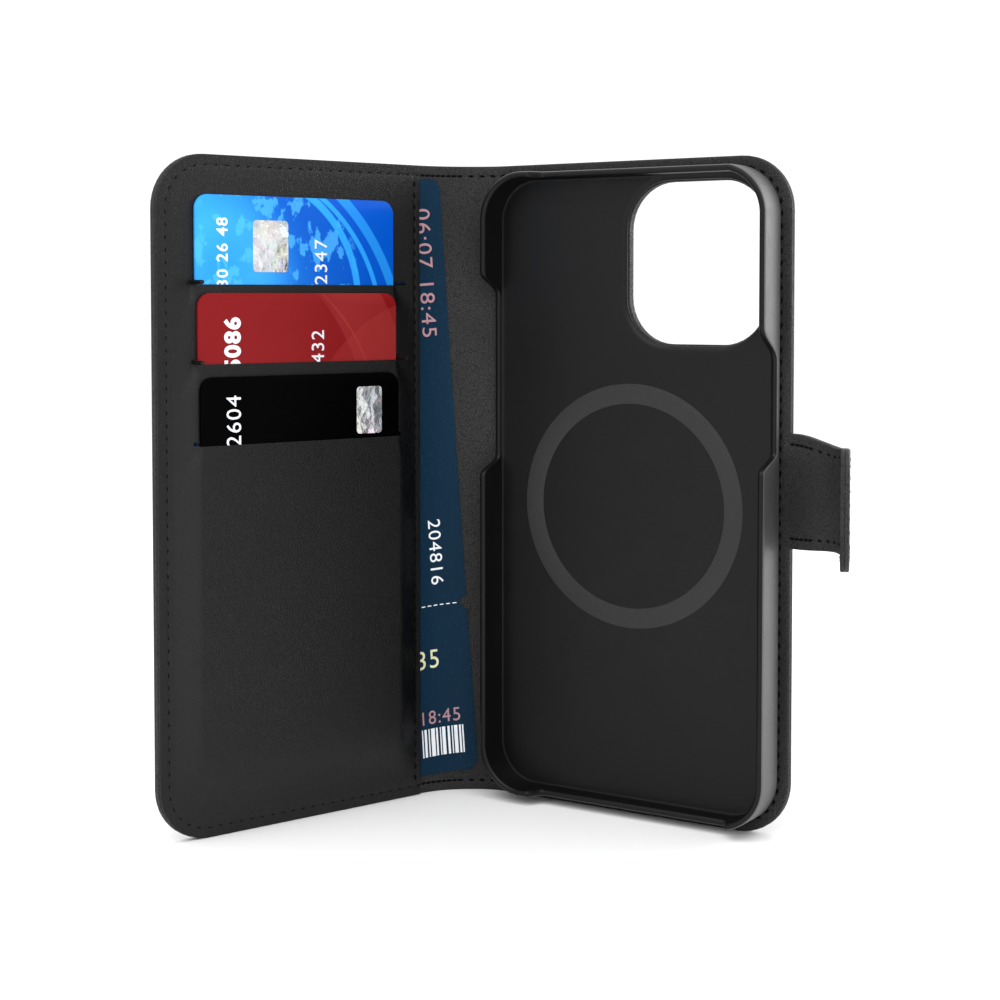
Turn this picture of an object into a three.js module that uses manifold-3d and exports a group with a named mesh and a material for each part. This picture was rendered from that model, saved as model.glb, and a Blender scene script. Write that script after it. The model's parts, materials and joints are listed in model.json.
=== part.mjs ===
// Book-style phone wallet case, standing open on its bottom edges. Millimetres, +Z up.
// Working frame: the back cover's inner face is the plane y = 0 and faces -Y, the spine is at -X,
// the closure strap at +X, and the bottom edges stand on z = 0.

import * as THREE from "three";
import { mergeVertices } from "three/addons/utils/BufferGeometryUtils.js";
import Module from "manifold-3d";

const wasm = await Module();
wasm.setup();

// ---------------------------------------------------------------- driving dimensions

const FIT_GAP = 0.04;                 // air left between stacked soft pieces

// the phone that the tray holds, and the tray itself
const PHONE_WIDTH = 71.5;
const PHONE_HEIGHT = 146.7;
const PHONE_CORNER = 9.5;
const PHONE_ROOM = 0.4;               // clearance all round
const TRAY_WALL = 1.6;
const TRAY_FLOOR = 1.2;
const TRAY_DEPTH = 9.2;               // floor, phone and a 0.2 lip
const TRAY_END_RIM = 5.6;             // rim height over the ports and loudspeakers
const TRAY_SIDE_RIM = 2.2;            // rim height beside the buttons

// covers
const COVER_HEIGHT = 155;
const COVER_CORNER = 12.5;
const BACK_FREE_EDGE = 40.0;          // x of the back cover's strap-side edge
const FRONT_WIDTH = 78.2;             // front cover, from its fold line to its free edge
const OUTER_FACE = 2.3;
const OUTER_SKIN = 0.95;
const BOARD = 0.8;
const LINING = 0.5;

// spine and its two folds
const BACK_FOLD_X = -40.0;
const SPINE_WIDTH = 13.0;
const FOLD_ANGLE = THREE.MathUtils.degToRad(35.7);   // at each of the two folds, standing open
const COVER_FOLD_GAP = 0.6;           // bare leather on the cover side of a fold line
const SPINE_FOLD_GAP = 2.7;           // and on the spine side

// camera opening, centred on these
const CAMERA_X = 16.45;
const CAMERA_Z = 130.75;
const CAMERA_WIDTH = 35.5;
const CAMERA_HEIGHT = 37.7;
const CAMERA_CORNER = 11;
const CAMERA_FLARE = 1.3;

// alignment magnet ring in the tray floor
const RING_Z = 73.5;
const RING_OUTER = 29;
const RING_INNER = 24.2;
const RING_TRIM = 0.12;
const MAGNETS = 16;
const MAGNET_THICKNESS = 0.7;
const MAGNET_SPACING = 0.4;

// cards and their slits
const CARD_WIDTH = 54;
const CARD_HEIGHT = 85.6;
const CARD_THICKNESS = 0.76;
const CARD_CORNER = 3.18;
const CARD_INSET = 9.35;              // from the front cover's free edge
const CARDS = [
  { name: "blue_card", top: 145.9, slit: 125.7, colour: 0x1478c8 },
  { name: "red_card", top: 123.8, slit: 107.8, colour: 0x9a1f22 },
  { name: "black_card", top: 104.9, slit: 89.5, colour: 0x050506 },
];
const POCKET_SIDE = 1.1;              // wall beside a card
const POCKET_FLOOR = 1.2;
const SOFT_PLY = 0.2;                 // card panel and pocket backing
const PANEL_EDGE = 6.4;               // panel's free edge, from the front fold line

// the ticket in the long pocket
const TICKET_WIDTH = 62;
const TICKET_HEIGHT = 147;
const TICKET_THICKNESS = 0.2;
const TICKET_TILT = THREE.MathUtils.degToRad(3.9);
const TICKET_LOW = 5;
const TICKET_TOP_REACH = -0.4;        // where its top corner comes to, from the fold line
const TICKET_NOTCH = 1.6;             // half-round notch at the end of its tear line
const TICKET_TEAR_Z = 42;

// closure strap
const STRAP_WIDTH = 26;
const STRAP_Z = 79.2;
const STRAP_PLY = 0.95;
const STRAP_FIRST = 0.1;              // inner ply's face, behind y = 0
const STRAP_ROOT_X = 39.9;
const STRAP_SIDE = 15.65;             // from the root fold to the tab's fold
const STRAP_ROOT_GAP = 1.5;
const STRAP_FOLD_GAP = 0.4;
const TAB_LENGTH = 31;
const TAB_CORNER = 7;
const SIDE_ANGLE = THREE.MathUtils.degToRad(21);   // the side swings this far towards the reader
const TAB_ANGLE = THREE.MathUtils.degToRad(47);    // and the tab this much further
const TAB_MAGNET_AT = 18;

// sewing
const SEAM_INSET = 2.4;
const THREAD = 0.3;

// ---------------------------------------------------------------- materials

const look = (color, roughness, metalness = 0) => new THREE.MeshStandardMaterial({ color, roughness, metalness });

const leather = look(0x1d1d1e, 0.55);
const liningLeather = look(0x242425, 0.6);
const board = look(0x6b6258, 0.9);
const thread = look(0x0c0c0c, 0.8);
const hardPlastic = look(0x191919, 0.45);
const ringGrey = look(0x3c3c3d, 0.5);
const steel = look(0xb8b8ba, 0.35, 1);
const magnetMetal = look(0xc6c7ca, 0.3, 1);
const ticketPaper = look(0x14304a, 0.5);

// ---------------------------------------------------------------- solids

function manifoldOf(geometry) {
  const bare = geometry.clone();
  bare.deleteAttribute("normal");
  bare.deleteAttribute("uv");
  const welded = mergeVertices(bare, 1e-4);
  return new wasm.Manifold(new wasm.Mesh({
    numProp: 3,
    vertProperties: Float32Array.from(welded.attributes.position.array),
    triVerts: Uint32Array.from(welded.index.array),
  }));
}

function geometryOf(manifold) {
  const mesh = manifold.getMesh();
  const geometry = new THREE.BufferGeometry();
  geometry.setAttribute("position", new THREE.BufferAttribute(mesh.vertProperties, 3));
  geometry.setIndex(new THREE.BufferAttribute(mesh.triVerts, 1));
  const flat = geometry.toNonIndexed();
  flat.computeVertexNormals();
  return flat;
}

function cut(geometry, ...tools) {
  return geometryOf(tools.reduce((left, tool) => left.subtract(manifoldOf(tool)), manifoldOf(geometry)));
}

function join(...geometries) {
  return geometryOf(geometries.map(manifoldOf).reduce((sum, next) => sum.add(next)));
}

function common(first, second) {
  return geometryOf(manifoldOf(first).intersect(manifoldOf(second)));
}

// An upright slab: a shape drawn in X and Z, from yNear back to yFar.
function slab(shape, yNear, yFar) {
  const geometry = new THREE.ExtrudeGeometry(shape, {
    depth: yFar - yNear, bevelEnabled: false, curveSegments: 12,
  });
  return geometry.rotateX(Math.PI / 2).translate(0, yFar, 0);
}

// A plan drawn in X and Y, extruded upwards from zLow to zHigh.
function upright(points, zLow, zHigh) {
  const shape = new THREE.Shape(points.map(([x, y]) => new THREE.Vector2(x, y)));
  const geometry = new THREE.ExtrudeGeometry(shape, { depth: zHigh - zLow, bevelEnabled: false });
  return geometry.translate(0, 0, zLow);
}

function block(x0, x1, y0, y1, z0, z1) {
  const geometry = new THREE.BoxGeometry(x1 - x0, y1 - y0, z1 - z0);
  return geometry.translate((x0 + x1) / 2, (y0 + y1) / 2, (z0 + z1) / 2);
}

function roundedRectangle(x0, x1, z0, z1, radius) {
  const shape = new THREE.Shape();
  shape.moveTo(x0 + radius, z0);
  shape.lineTo(x1 - radius, z0);
  shape.absarc(x1 - radius, z0 + radius, radius, -Math.PI / 2, 0, false);
  shape.lineTo(x1, z1 - radius);
  shape.absarc(x1 - radius, z1 - radius, radius, 0, Math.PI / 2, false);
  shape.lineTo(x0 + radius, z1);
  shape.absarc(x0 + radius, z1 - radius, radius, Math.PI / 2, Math.PI, false);
  shape.lineTo(x0, z0 + radius);
  shape.absarc(x0 + radius, z0 + radius, radius, Math.PI, Math.PI * 1.5, false);
  shape.closePath();
  return shape;
}

// A leaf with square corners at its hinge side and round ones at its free side, which may be at +X or -X.
function leafOutline(hingeX, freeX, z0, z1, radius) {
  const side = Math.sign(freeX - hingeX);
  const arcX = freeX - side * radius;
  const turn = (angle) => (side > 0 ? angle : Math.PI - angle);
  const shape = new THREE.Shape();
  shape.moveTo(hingeX, z0);
  shape.lineTo(arcX, z0);
  shape.absarc(arcX, z0 + radius, radius, turn(-Math.PI / 2), turn(0), side < 0);
  shape.lineTo(freeX, z1 - radius);
  shape.absarc(arcX, z1 - radius, radius, turn(0), turn(Math.PI / 2), side < 0);
  shape.lineTo(hingeX, z1);
  shape.closePath();
  return shape;
}

function piece(name, geometry, material) {
  const mesh = new THREE.Mesh(geometry, material);
  mesh.name = name;
  return mesh;
}

function group(...children) {
  const made = new THREE.Group();
  made.add(...children);
  return made;
}

// ---------------------------------------------------------------- sewing

// The thread of a seam that runs round a leaf's free sides, sunk in the leaf's face between y0 and y1.
function leafSeam(hingeX, freeX, z0, z1, radius, y0, y1, width) {
  const side = Math.sign(freeX - hingeX);
  const ring = (inset) => slab(
    leafOutline(hingeX - side, freeX - side * inset, z0 + inset, z1 - inset, radius - inset), y0, y1);
  const outside = manifoldOf(ring(SEAM_INSET - width / 2));
  const inside = manifoldOf(ring(SEAM_INSET + width / 2));
  const reach = side > 0 ? [hingeX, freeX] : [freeX, hingeX];
  const span = manifoldOf(block(...reach, y0, y1, z0, z1));
  return geometryOf(outside.subtract(inside).intersect(span));
}

// ---------------------------------------------------------------- covers

const SKIN_LAYER = [OUTER_FACE - OUTER_SKIN, OUTER_FACE];
const BOARD_LAYER = [LINING + FIT_GAP, LINING + BOARD];
const LINING_LAYER = [0, LINING];
const THREAD_LAYER = [FIT_GAP, FIT_GAP + THREAD];
const GROOVE_LAYER = [-1, FIT_GAP * 2 + THREAD];
const PLATE_LAYER = [LINING + 0.2, LINING + 0.7];

const cameraOutline = (grow) => roundedRectangle(
  CAMERA_X - CAMERA_WIDTH / 2 - grow, CAMERA_X + CAMERA_WIDTH / 2 + grow,
  CAMERA_Z - CAMERA_HEIGHT / 2 - grow, CAMERA_Z + CAMERA_HEIGHT / 2 + grow, CAMERA_CORNER + grow);

// A steel plate and the window for it in a cover's board.
function platePair(x, z, width, height) {
  const outline = (grow) => roundedRectangle(
    x - width / 2 - grow, x + width / 2 + grow, z - height / 2 - grow, z + height / 2 + grow, 2 + grow);
  return [slab(outline(0), ...PLATE_LAYER), slab(outline(0.2), 0, OUTER_FACE)];
}

function backCover() {
  const hingeX = BACK_FOLD_X + COVER_FOLD_GAP;
  const outline = leafOutline(hingeX, BACK_FREE_EDGE, 0, COVER_HEIGHT, COVER_CORNER);
  const window = slab(cameraOutline(0), -1, OUTER_FACE + 1);
  const seam = (width, layer) => leafSeam(
    hingeX, BACK_FREE_EDGE, 0, COVER_HEIGHT, COVER_CORNER, ...layer, width);
  const [plate, plateWindow] = platePair(0, RING_Z, 60, 60);
  const anchorHalf = STRAP_WIDTH / 2 - 3;
  const anchorRoot = BACK_FREE_EDGE - 9;
  const anchor = block(anchorRoot, BACK_FREE_EDGE, LINING + 0.1, LINING + BOARD - 0.1,
    STRAP_Z - anchorHalf, STRAP_Z + anchorHalf);
  const anchorNotch = block(anchorRoot - 0.2, BACK_FREE_EDGE + 1, 0, OUTER_FACE,
    STRAP_Z - anchorHalf - 0.2, STRAP_Z + anchorHalf + 0.2);
  return group(
    piece("back_outer_skin", cut(slab(outline, ...SKIN_LAYER), window), leather),
    piece("back_board", cut(slab(outline, ...BOARD_LAYER), window, plateWindow, anchorNotch), board),
    piece("tray_holding_plate", plate, steel),
    piece("back_lining", cut(slab(outline, ...LINING_LAYER), window, seam(THREAD + 0.1, GROOVE_LAYER)),
      liningLeather),
    piece("back_seam_thread", seam(THREAD, THREAD_LAYER), thread),
    piece("strap_anchor", anchor, leather),
  );
}

// The spine's own frame has its origin on the back fold line and runs to -X.
function spine() {
  const x0 = -SPINE_WIDTH + SPINE_FOLD_GAP;
  const x1 = -SPINE_FOLD_GAP;
  const layer = (y0, y1) => block(x0, x1, y0, y1, 0, COVER_HEIGHT);
  const run = (z, width, [y0, y1]) => block(x0, x1, y0, y1, z - width / 2, z + width / 2);
  const seams = [SEAM_INSET, COVER_HEIGHT - SEAM_INSET];
  const grooves = seams.map((z) => run(z, THREAD + 0.1, GROOVE_LAYER));
  return group(
    piece("spine_outer_skin", layer(...SKIN_LAYER), leather),
    piece("spine_filler", layer(LINING + FIT_GAP, LINING + BOARD), board),
    piece("spine_lining", cut(layer(...LINING_LAYER), ...grooves), liningLeather),
    ...seams.map((z, i) => piece(
      ["spine_bottom_thread", "spine_top_thread"][i], run(z, THREAD, THREAD_LAYER), thread)),
  );
}

// ---------------------------------------------------------------- front cover

const CARD_FREE_SIDE = -FRONT_WIDTH + CARD_INSET;
const CARD_FOLD_SIDE = CARD_FREE_SIDE + CARD_WIDTH;
const TICKET_FACE = FIT_GAP;
const BACKING_FACE = TICKET_FACE + TICKET_THICKNESS + FIT_GAP;
const PANEL_FACE = BACKING_FACE + SOFT_PLY + FIT_GAP;
const STEP = CARD_THICKNESS + SOFT_PLY + 2 * FIT_GAP;

// How far in front of the lining each layer lies. Every slit steps the panel out over one more card.
const plyFace = (level) => PANEL_FACE + level * STEP;
const cardFace = (level) => plyFace(level) + SOFT_PLY + FIT_GAP;

// A slab in front of the lining: near and far count towards the reader, from the lining's face.
const raised = (shape, near, far) => slab(shape, -far, -near);
const raisedBlock = (x0, x1, near, far, z0, z1) => block(x0, x1, -far, -near, z0, z1);

function cardPanel() {
  const outline = leafOutline(-PANEL_EDGE, -FRONT_WIDTH, 0, COVER_HEIGHT, COVER_CORNER);
  const low = CARD_FREE_SIDE - 0.2;
  const high = CARD_FOLD_SIDE + 0.2;
  const bottoms = CARDS.map((card) => card.top - CARD_HEIGHT - 0.2);
  const seat = bottoms[CARDS.length - 1] - POCKET_FLOOR;
  const parts = [raised(outline, plyFace(0), plyFace(0) + SOFT_PLY)];
  CARDS.forEach((card, i) => {
    const z0 = i + 1 < CARDS.length ? CARDS[i + 1].slit : seat;
    const front = plyFace(i + 1) + SOFT_PLY;
    parts.push(raisedBlock(low - POCKET_SIDE, high + POCKET_SIDE, plyFace(i + 1), front, z0, card.slit));
    parts.push(raisedBlock(low - POCKET_SIDE, low, plyFace(0), front, z0, card.slit));
    parts.push(raisedBlock(high, high + POCKET_SIDE, plyFace(0), front, z0, card.slit));
    // the seam that the card stands on
    const stop = plyFace(i + 1) - FIT_GAP + (i + 1 < CARDS.length ? 0 : SOFT_PLY);
    parts.push(raisedBlock(low, high, plyFace(0), stop, bottoms[i] - POCKET_FLOOR, bottoms[i]));
  });
  const groove = raisedBlock(-PANEL_EDGE - 1.8, -PANEL_EDGE - 1.4, plyFace(0) + 0.08, 3,
    SEAM_INSET, COVER_HEIGHT - SEAM_INSET);
  return cut(join(...parts), groove);
}

function cardOutline(top) {
  return roundedRectangle(CARD_FREE_SIDE, CARD_FOLD_SIDE, top - CARD_HEIGHT, top, CARD_CORNER);
}

// The ticket lies flat in its pocket, and bends over the spine's inner face beyond the fold line.
function ticket() {
  const bend = Math.tan(FOLD_ANGLE / 2);
  const along = (length, offset) => [
    Math.cos(FOLD_ANGLE) * length - Math.sin(FOLD_ANGLE) * offset,
    -Math.sin(FOLD_ANGLE) * length - Math.cos(FOLD_ANGLE) * offset,
  ];
  const near = TICKET_FACE;
  const far = TICKET_FACE + TICKET_THICKNESS;
  const reach = SPINE_WIDTH - 1;
  const sheet = upright([
    [-FRONT_WIDTH, -near], [-near * bend, -near], along(reach, near),
    along(reach, far), [-far * bend, -far], [-FRONT_WIDTH, -far],
  ], 0, COVER_HEIGHT);
  const outline = roundedRectangle(-TICKET_WIDTH, 0, 0, TICKET_HEIGHT, 3);
  const notch = new THREE.Shape().absarc(0, TICKET_TEAR_Z, TICKET_NOTCH, 0, Math.PI * 2, false);
  const turned = cut(slab(outline, -20, 20), slab(notch, -25, 25))
    .translate(0, 0, -TICKET_HEIGHT)
    .rotateY(TICKET_TILT)
    .translate(TICKET_TOP_REACH, 0, TICKET_HEIGHT + TICKET_LOW);
  return common(sheet, turned);
}

function frontCover() {
  const hingeX = -COVER_FOLD_GAP;
  const outline = leafOutline(hingeX, -FRONT_WIDTH, 0, COVER_HEIGHT, COVER_CORNER);
  const backing = leafOutline(-PANEL_EDGE - 0.3, -FRONT_WIDTH + 1.2, 1.2, COVER_HEIGHT - 1.2, COVER_CORNER - 1.2);
  const seam = (width, layer) => leafSeam(hingeX, -FRONT_WIDTH, 0, COVER_HEIGHT, COVER_CORNER, ...layer, width);
  const closureX = STRAP_ROOT_X - TAB_MAGNET_AT - BACK_FOLD_X;
  const [plate, plateWindow] = platePair(-closureX, STRAP_Z, 24, 18);
  const edgeThread = raisedBlock(-PANEL_EDGE - 1.75, -PANEL_EDGE - 1.45, plyFace(0) + 0.1, plyFace(0) + 0.3,
    SEAM_INSET, COVER_HEIGHT - SEAM_INSET);
  return group(
    piece("front_outer_skin", slab(outline, ...SKIN_LAYER), leather),
    piece("front_board", cut(slab(outline, LINING + FIT_GAP, LINING + BOARD), plateWindow), board),
    piece("closure_plate", plate, steel),
    piece("front_lining", cut(slab(outline, ...LINING_LAYER), seam(THREAD + 0.1, GROOVE_LAYER)), liningLeather),
    piece("front_seam_thread", seam(THREAD, THREAD_LAYER), thread),
    piece("pocket_backing", raised(backing, BACKING_FACE, BACKING_FACE + SOFT_PLY), liningLeather),
    piece("card_panel", cardPanel(), liningLeather),
    piece("panel_edge_thread", edgeThread, thread),
    ...CARDS.map((card, i) => piece(
      card.name, raised(cardOutline(card.top), cardFace(i), cardFace(i) + CARD_THICKNESS), look(card.colour, 0.3))),
    piece("event_ticket", ticket(), ticketPaper),
  );
}

// ---------------------------------------------------------------- closure strap

const INNER_PLY = [STRAP_FIRST, STRAP_FIRST + STRAP_PLY];
const OUTER_PLY = [INNER_PLY[1] + FIT_GAP, INNER_PLY[1] + FIT_GAP + STRAP_PLY];
const STRAP_LOW = STRAP_Z - STRAP_WIDTH / 2;
const STRAP_HIGH = STRAP_Z + STRAP_WIDTH / 2;
const STRAP_THREAD = [STRAP_FIRST + FIT_GAP, STRAP_FIRST + FIT_GAP + THREAD];
const STRAP_GROOVE = [-1, STRAP_THREAD[1] + FIT_GAP];

function strapSide() {
  const x0 = STRAP_ROOT_GAP;
  const x1 = STRAP_SIDE - STRAP_FOLD_GAP;
  const seams = [STRAP_LOW + SEAM_INSET, STRAP_HIGH - SEAM_INSET];
  const run = (z, width, [y0, y1]) => block(x0, x1, y0, y1, z - width / 2, z + width / 2);
  const grooves = seams.map((z) => run(z, THREAD + 0.1, STRAP_GROOVE));
  return group(
    piece("strap_side_inner_ply", cut(block(x0, x1, ...INNER_PLY, STRAP_LOW, STRAP_HIGH), ...grooves), liningLeather),
    piece("strap_side_outer_ply", block(x0, x1, ...OUTER_PLY, STRAP_LOW, STRAP_HIGH), leather),
    ...seams.map((z, i) => piece(
      ["strap_side_bottom_thread", "strap_side_top_thread"][i], run(z, THREAD, STRAP_THREAD), thread)),
  );
}

// The tab's own frame has its origin on its fold line and runs to +X.
function strapTab() {
  const outline = leafOutline(STRAP_FOLD_GAP, TAB_LENGTH, STRAP_LOW, STRAP_HIGH, TAB_CORNER);
  const seam = (width, layer) => leafSeam(
    STRAP_FOLD_GAP, TAB_LENGTH, STRAP_LOW, STRAP_HIGH, TAB_CORNER, ...layer, width);
  const magnet = (grow) => block(
    TAB_MAGNET_AT - 6 - grow, TAB_MAGNET_AT + 6 + grow,
    INNER_PLY[1] - 0.4 - grow, OUTER_PLY[0] + 0.4 + grow, STRAP_Z - 7 - grow, STRAP_Z + 7 + grow);
  return group(
    piece("strap_tab_inner_ply",
      cut(slab(outline, ...INNER_PLY), magnet(0.05), seam(THREAD + 0.1, STRAP_GROOVE)), liningLeather),
    piece("strap_tab_outer_ply", cut(slab(outline, ...OUTER_PLY), magnet(0.05)), leather),
    piece("strap_tab_thread", seam(THREAD, STRAP_THREAD), thread),
    piece("strap_magnet", magnet(0), magnetMetal),
  );
}

// ---------------------------------------------------------------- phone tray

const CAVITY_HALF = PHONE_WIDTH / 2 + PHONE_ROOM;
const CAVITY_LOW = (COVER_HEIGHT - PHONE_HEIGHT) / 2 - PHONE_ROOM;
const CAVITY_HIGH = COVER_HEIGHT - CAVITY_LOW;

// What is cut out of a wall: a low stretch with an S-shaped ramp up to the full rim at each end.
// The profile runs along the wall, and height is counted from the tray's base.
function rimCut(lowStart, lowEnd, rampStart, rampEnd, height) {
  const above = TRAY_DEPTH + 1;
  const shape = new THREE.Shape();
  const first = lowStart - rampStart;
  const last = lowEnd + rampEnd;
  shape.moveTo(first - 1, above);
  shape.lineTo(first - 1, TRAY_DEPTH + 0.01);
  shape.lineTo(first, TRAY_DEPTH);
  shape.bezierCurveTo(first + rampStart * 0.5, TRAY_DEPTH, lowStart - rampStart * 0.5, height, lowStart, height);
  shape.lineTo(lowEnd, height);
  shape.bezierCurveTo(lowEnd + rampEnd * 0.5, height, last - rampEnd * 0.5, TRAY_DEPTH, last, TRAY_DEPTH);
  shape.lineTo(last + 1, TRAY_DEPTH + 0.01);
  shape.lineTo(last + 1, above);
  shape.closePath();
  return shape;
}

// Cuts through one side wall (at x) or one end wall (at z), with the profile laid along it.
function sideCut(x, shape) {
  const reach = TRAY_WALL + 1;
  const geometry = new THREE.ExtrudeGeometry(shape, { depth: 2 * reach, bevelEnabled: false, curveSegments: 8 });
  const basis = new THREE.Matrix4().makeBasis(
    new THREE.Vector3(0, 0, 1), new THREE.Vector3(0, -1, 0), new THREE.Vector3(1, 0, 0));
  return geometry.translate(0, 0, -reach).applyMatrix4(basis).translate(x, 0, 0);
}

function endCut(z, shape) {
  const reach = TRAY_WALL + 1;
  const geometry = new THREE.ExtrudeGeometry(shape, { depth: 2 * reach, bevelEnabled: false, curveSegments: 8 });
  return geometry.translate(0, 0, -reach).rotateX(Math.PI).translate(0, 0, z);
}

// The camera opening in the floor, wider at the phone's side.
function cameraCutter() {
  const geometry = new THREE.ExtrudeGeometry(cameraOutline(0.3), {
    depth: 2, bevelEnabled: true, bevelThickness: TRAY_FLOOR, bevelSize: CAMERA_FLARE, bevelSegments: 1,
    curveSegments: 12,
  });
  return join(
    geometry.rotateX(Math.PI / 2).translate(0, -TRAY_FLOOR, 0),
    slab(cameraOutline(0.3), -TRAY_FLOOR, 1),
  );
}

function arcShape(inner, outer, start, end) {
  const shape = new THREE.Shape();
  shape.absarc(0, 0, outer, start, end, false);
  shape.absarc(0, 0, inner, end, start, true);
  shape.closePath();
  return shape;
}

function annulus(inner, outer, yNear, yFar) {
  const shape = new THREE.Shape().absarc(0, 0, outer, 0, Math.PI * 2, false);
  shape.holes.push(new THREE.Path().absarc(0, 0, inner, 0, Math.PI * 2, true));
  const geometry = new THREE.ExtrudeGeometry(shape, {
    depth: yFar - yNear, bevelEnabled: false, curveSegments: 64,
  });
  return geometry.rotateX(Math.PI / 2).translate(0, yFar, RING_Z);
}

function trayShell() {
  const outer = roundedRectangle(
    -CAVITY_HALF - TRAY_WALL, CAVITY_HALF + TRAY_WALL, CAVITY_LOW - TRAY_WALL, CAVITY_HIGH + TRAY_WALL,
    PHONE_CORNER + PHONE_ROOM + TRAY_WALL);
  const cavity = roundedRectangle(-CAVITY_HALF, CAVITY_HALF, CAVITY_LOW, CAVITY_HIGH, PHONE_CORNER + PHONE_ROOM);
  const wall = TRAY_WALL / 2;
  return cut(
    slab(outer, -TRAY_DEPTH, 0),
    slab(cavity, -TRAY_DEPTH - 1, -TRAY_FLOOR),
    sideCut(-CAVITY_HALF - wall, rimCut(84.4, 123, 5.1, 6.3, TRAY_SIDE_RIM)),
    sideCut(CAVITY_HALF + wall, rimCut(88.2, 108, 5.1, 8.8, TRAY_SIDE_RIM)),
    endCut(CAVITY_LOW - wall, rimCut(-21.5, 27, 3, 2.4, TRAY_END_RIM)),
    endCut(CAVITY_HIGH + wall, rimCut(-21.5, 27, 3, 2.4, TRAY_END_RIM)),
    cameraCutter(),
    annulus(RING_INNER - 0.1, RING_OUTER + 0.1, -MAGNET_THICKNESS - 0.1, 1),
    annulus(RING_INNER, RING_OUTER, -TRAY_FLOOR - 1, -TRAY_FLOOR + RING_TRIM),
  );
}

function phoneTray() {
  const turn = (2 * Math.PI) / MAGNETS;
  const half = turn / 2 - MAGNET_SPACING / RING_OUTER / 2;
  const magnets = Array.from({ length: MAGNETS }, (_, i) => {
    const shape = arcShape(RING_INNER + 0.2, RING_OUTER - 0.2, i * turn - half, i * turn + half);
    const geometry = slab(shape, -MAGNET_THICKNESS - 0.05, -0.05).translate(0, 0, RING_Z);
    return piece(`ring_magnet_${String(i + 1).padStart(2, "0")}`, geometry, magnetMetal);
  });
  return group(
    piece("phone_tray", trayShell(), hardPlastic),
    piece("magnet_ring_trim",
      annulus(RING_INNER + 0.03, RING_OUTER - 0.03, -TRAY_FLOOR, -TRAY_FLOOR + RING_TRIM - 0.02), ringGrey),
    ...magnets,
  );
}

// ---------------------------------------------------------------- assembly

// The record's frame has its origin on the back board's bottom edge, half-way through its thickness.
const BOARD_MIDDLE = (BOARD_LAYER[0] + BOARD_LAYER[1]) / 2;

const spineGroup = spine();
spineGroup.position.set(BACK_FOLD_X, 0, 0);
spineGroup.rotation.z = FOLD_ANGLE;

const frontGroup = frontCover();
frontGroup.position.set(-SPINE_WIDTH, 0, 0);
frontGroup.rotation.z = FOLD_ANGLE;
spineGroup.add(frontGroup);

const sideGroup = strapSide();
sideGroup.position.set(STRAP_ROOT_X, 0, 0);
sideGroup.rotation.z = -SIDE_ANGLE;

const tabGroup = strapTab();
tabGroup.position.set(STRAP_SIDE, 0, 0);
tabGroup.rotation.z = -TAB_ANGLE;
sideGroup.add(tabGroup);

const walletCase = group(backCover(), spineGroup, sideGroup, phoneTray());
walletCase.position.y = -BOARD_MIDDLE;

export default walletCase;
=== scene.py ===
"""Looks for the phone wallet case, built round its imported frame.

Leather pieces are laid out flat first, as they are cut: p runs along the piece in millimetres, n is the
height towards the reader and z is up. Each is then laid over the covers, the spine or the strap.
"""
import json
import math

import bmesh
import bpy
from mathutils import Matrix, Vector


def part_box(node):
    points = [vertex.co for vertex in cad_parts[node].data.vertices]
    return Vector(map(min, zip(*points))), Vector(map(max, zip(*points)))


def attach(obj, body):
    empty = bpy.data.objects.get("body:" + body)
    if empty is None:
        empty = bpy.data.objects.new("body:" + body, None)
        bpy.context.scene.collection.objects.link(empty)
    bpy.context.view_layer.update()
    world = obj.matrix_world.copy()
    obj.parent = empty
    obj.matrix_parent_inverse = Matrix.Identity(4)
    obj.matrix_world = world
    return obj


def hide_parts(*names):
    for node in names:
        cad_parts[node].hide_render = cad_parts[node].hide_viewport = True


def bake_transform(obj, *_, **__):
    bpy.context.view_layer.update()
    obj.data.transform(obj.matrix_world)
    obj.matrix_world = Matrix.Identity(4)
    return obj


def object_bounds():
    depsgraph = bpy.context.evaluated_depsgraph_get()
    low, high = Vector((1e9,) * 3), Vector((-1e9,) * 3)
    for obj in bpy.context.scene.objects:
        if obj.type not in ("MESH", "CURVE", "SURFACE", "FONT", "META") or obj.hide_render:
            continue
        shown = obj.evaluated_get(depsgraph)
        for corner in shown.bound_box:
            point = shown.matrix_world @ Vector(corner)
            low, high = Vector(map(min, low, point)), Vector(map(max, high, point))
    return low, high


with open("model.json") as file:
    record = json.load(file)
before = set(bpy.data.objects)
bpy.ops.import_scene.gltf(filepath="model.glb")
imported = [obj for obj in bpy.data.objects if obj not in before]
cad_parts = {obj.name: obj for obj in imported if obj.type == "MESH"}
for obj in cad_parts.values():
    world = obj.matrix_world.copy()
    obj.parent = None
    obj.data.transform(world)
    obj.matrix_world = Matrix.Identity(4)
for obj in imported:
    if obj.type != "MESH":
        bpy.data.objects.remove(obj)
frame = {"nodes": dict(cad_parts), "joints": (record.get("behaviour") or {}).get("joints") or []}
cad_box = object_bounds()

MM = 0.001
NODES = frame["nodes"]
JOINTS = {joint["name"]: joint for joint in frame["joints"]}

# ------------------------------------------------------------------ sizes, in millimetres

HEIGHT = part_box("back_outer_skin")[1].z / MM
COVER_CORNER = 12.5
BACK_FOLD = Vector(JOINTS["fold_back"]["pos_m"]).xy / MM
FRONT_FOLD = Vector(JOINTS["fold_front"]["pos_m"]).xy / MM
FOLD_ANGLE = math.radians(90 + JOINTS["fold_back"]["range_deg"][0])
SPINE = (FRONT_FOLD - BACK_FOLD).length
HALF_SPINE = SPINE / 2
BACK_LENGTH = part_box("back_outer_skin")[1].x / MM - BACK_FOLD.x
FRONT_LENGTH = 78.2
FACE_Y = BACK_FOLD.y                    # the back cover's inner face
BACK_LEG = 3.4                          # how far the leather's curve runs from a fold line
FRONT_LEG = 6.4

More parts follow.
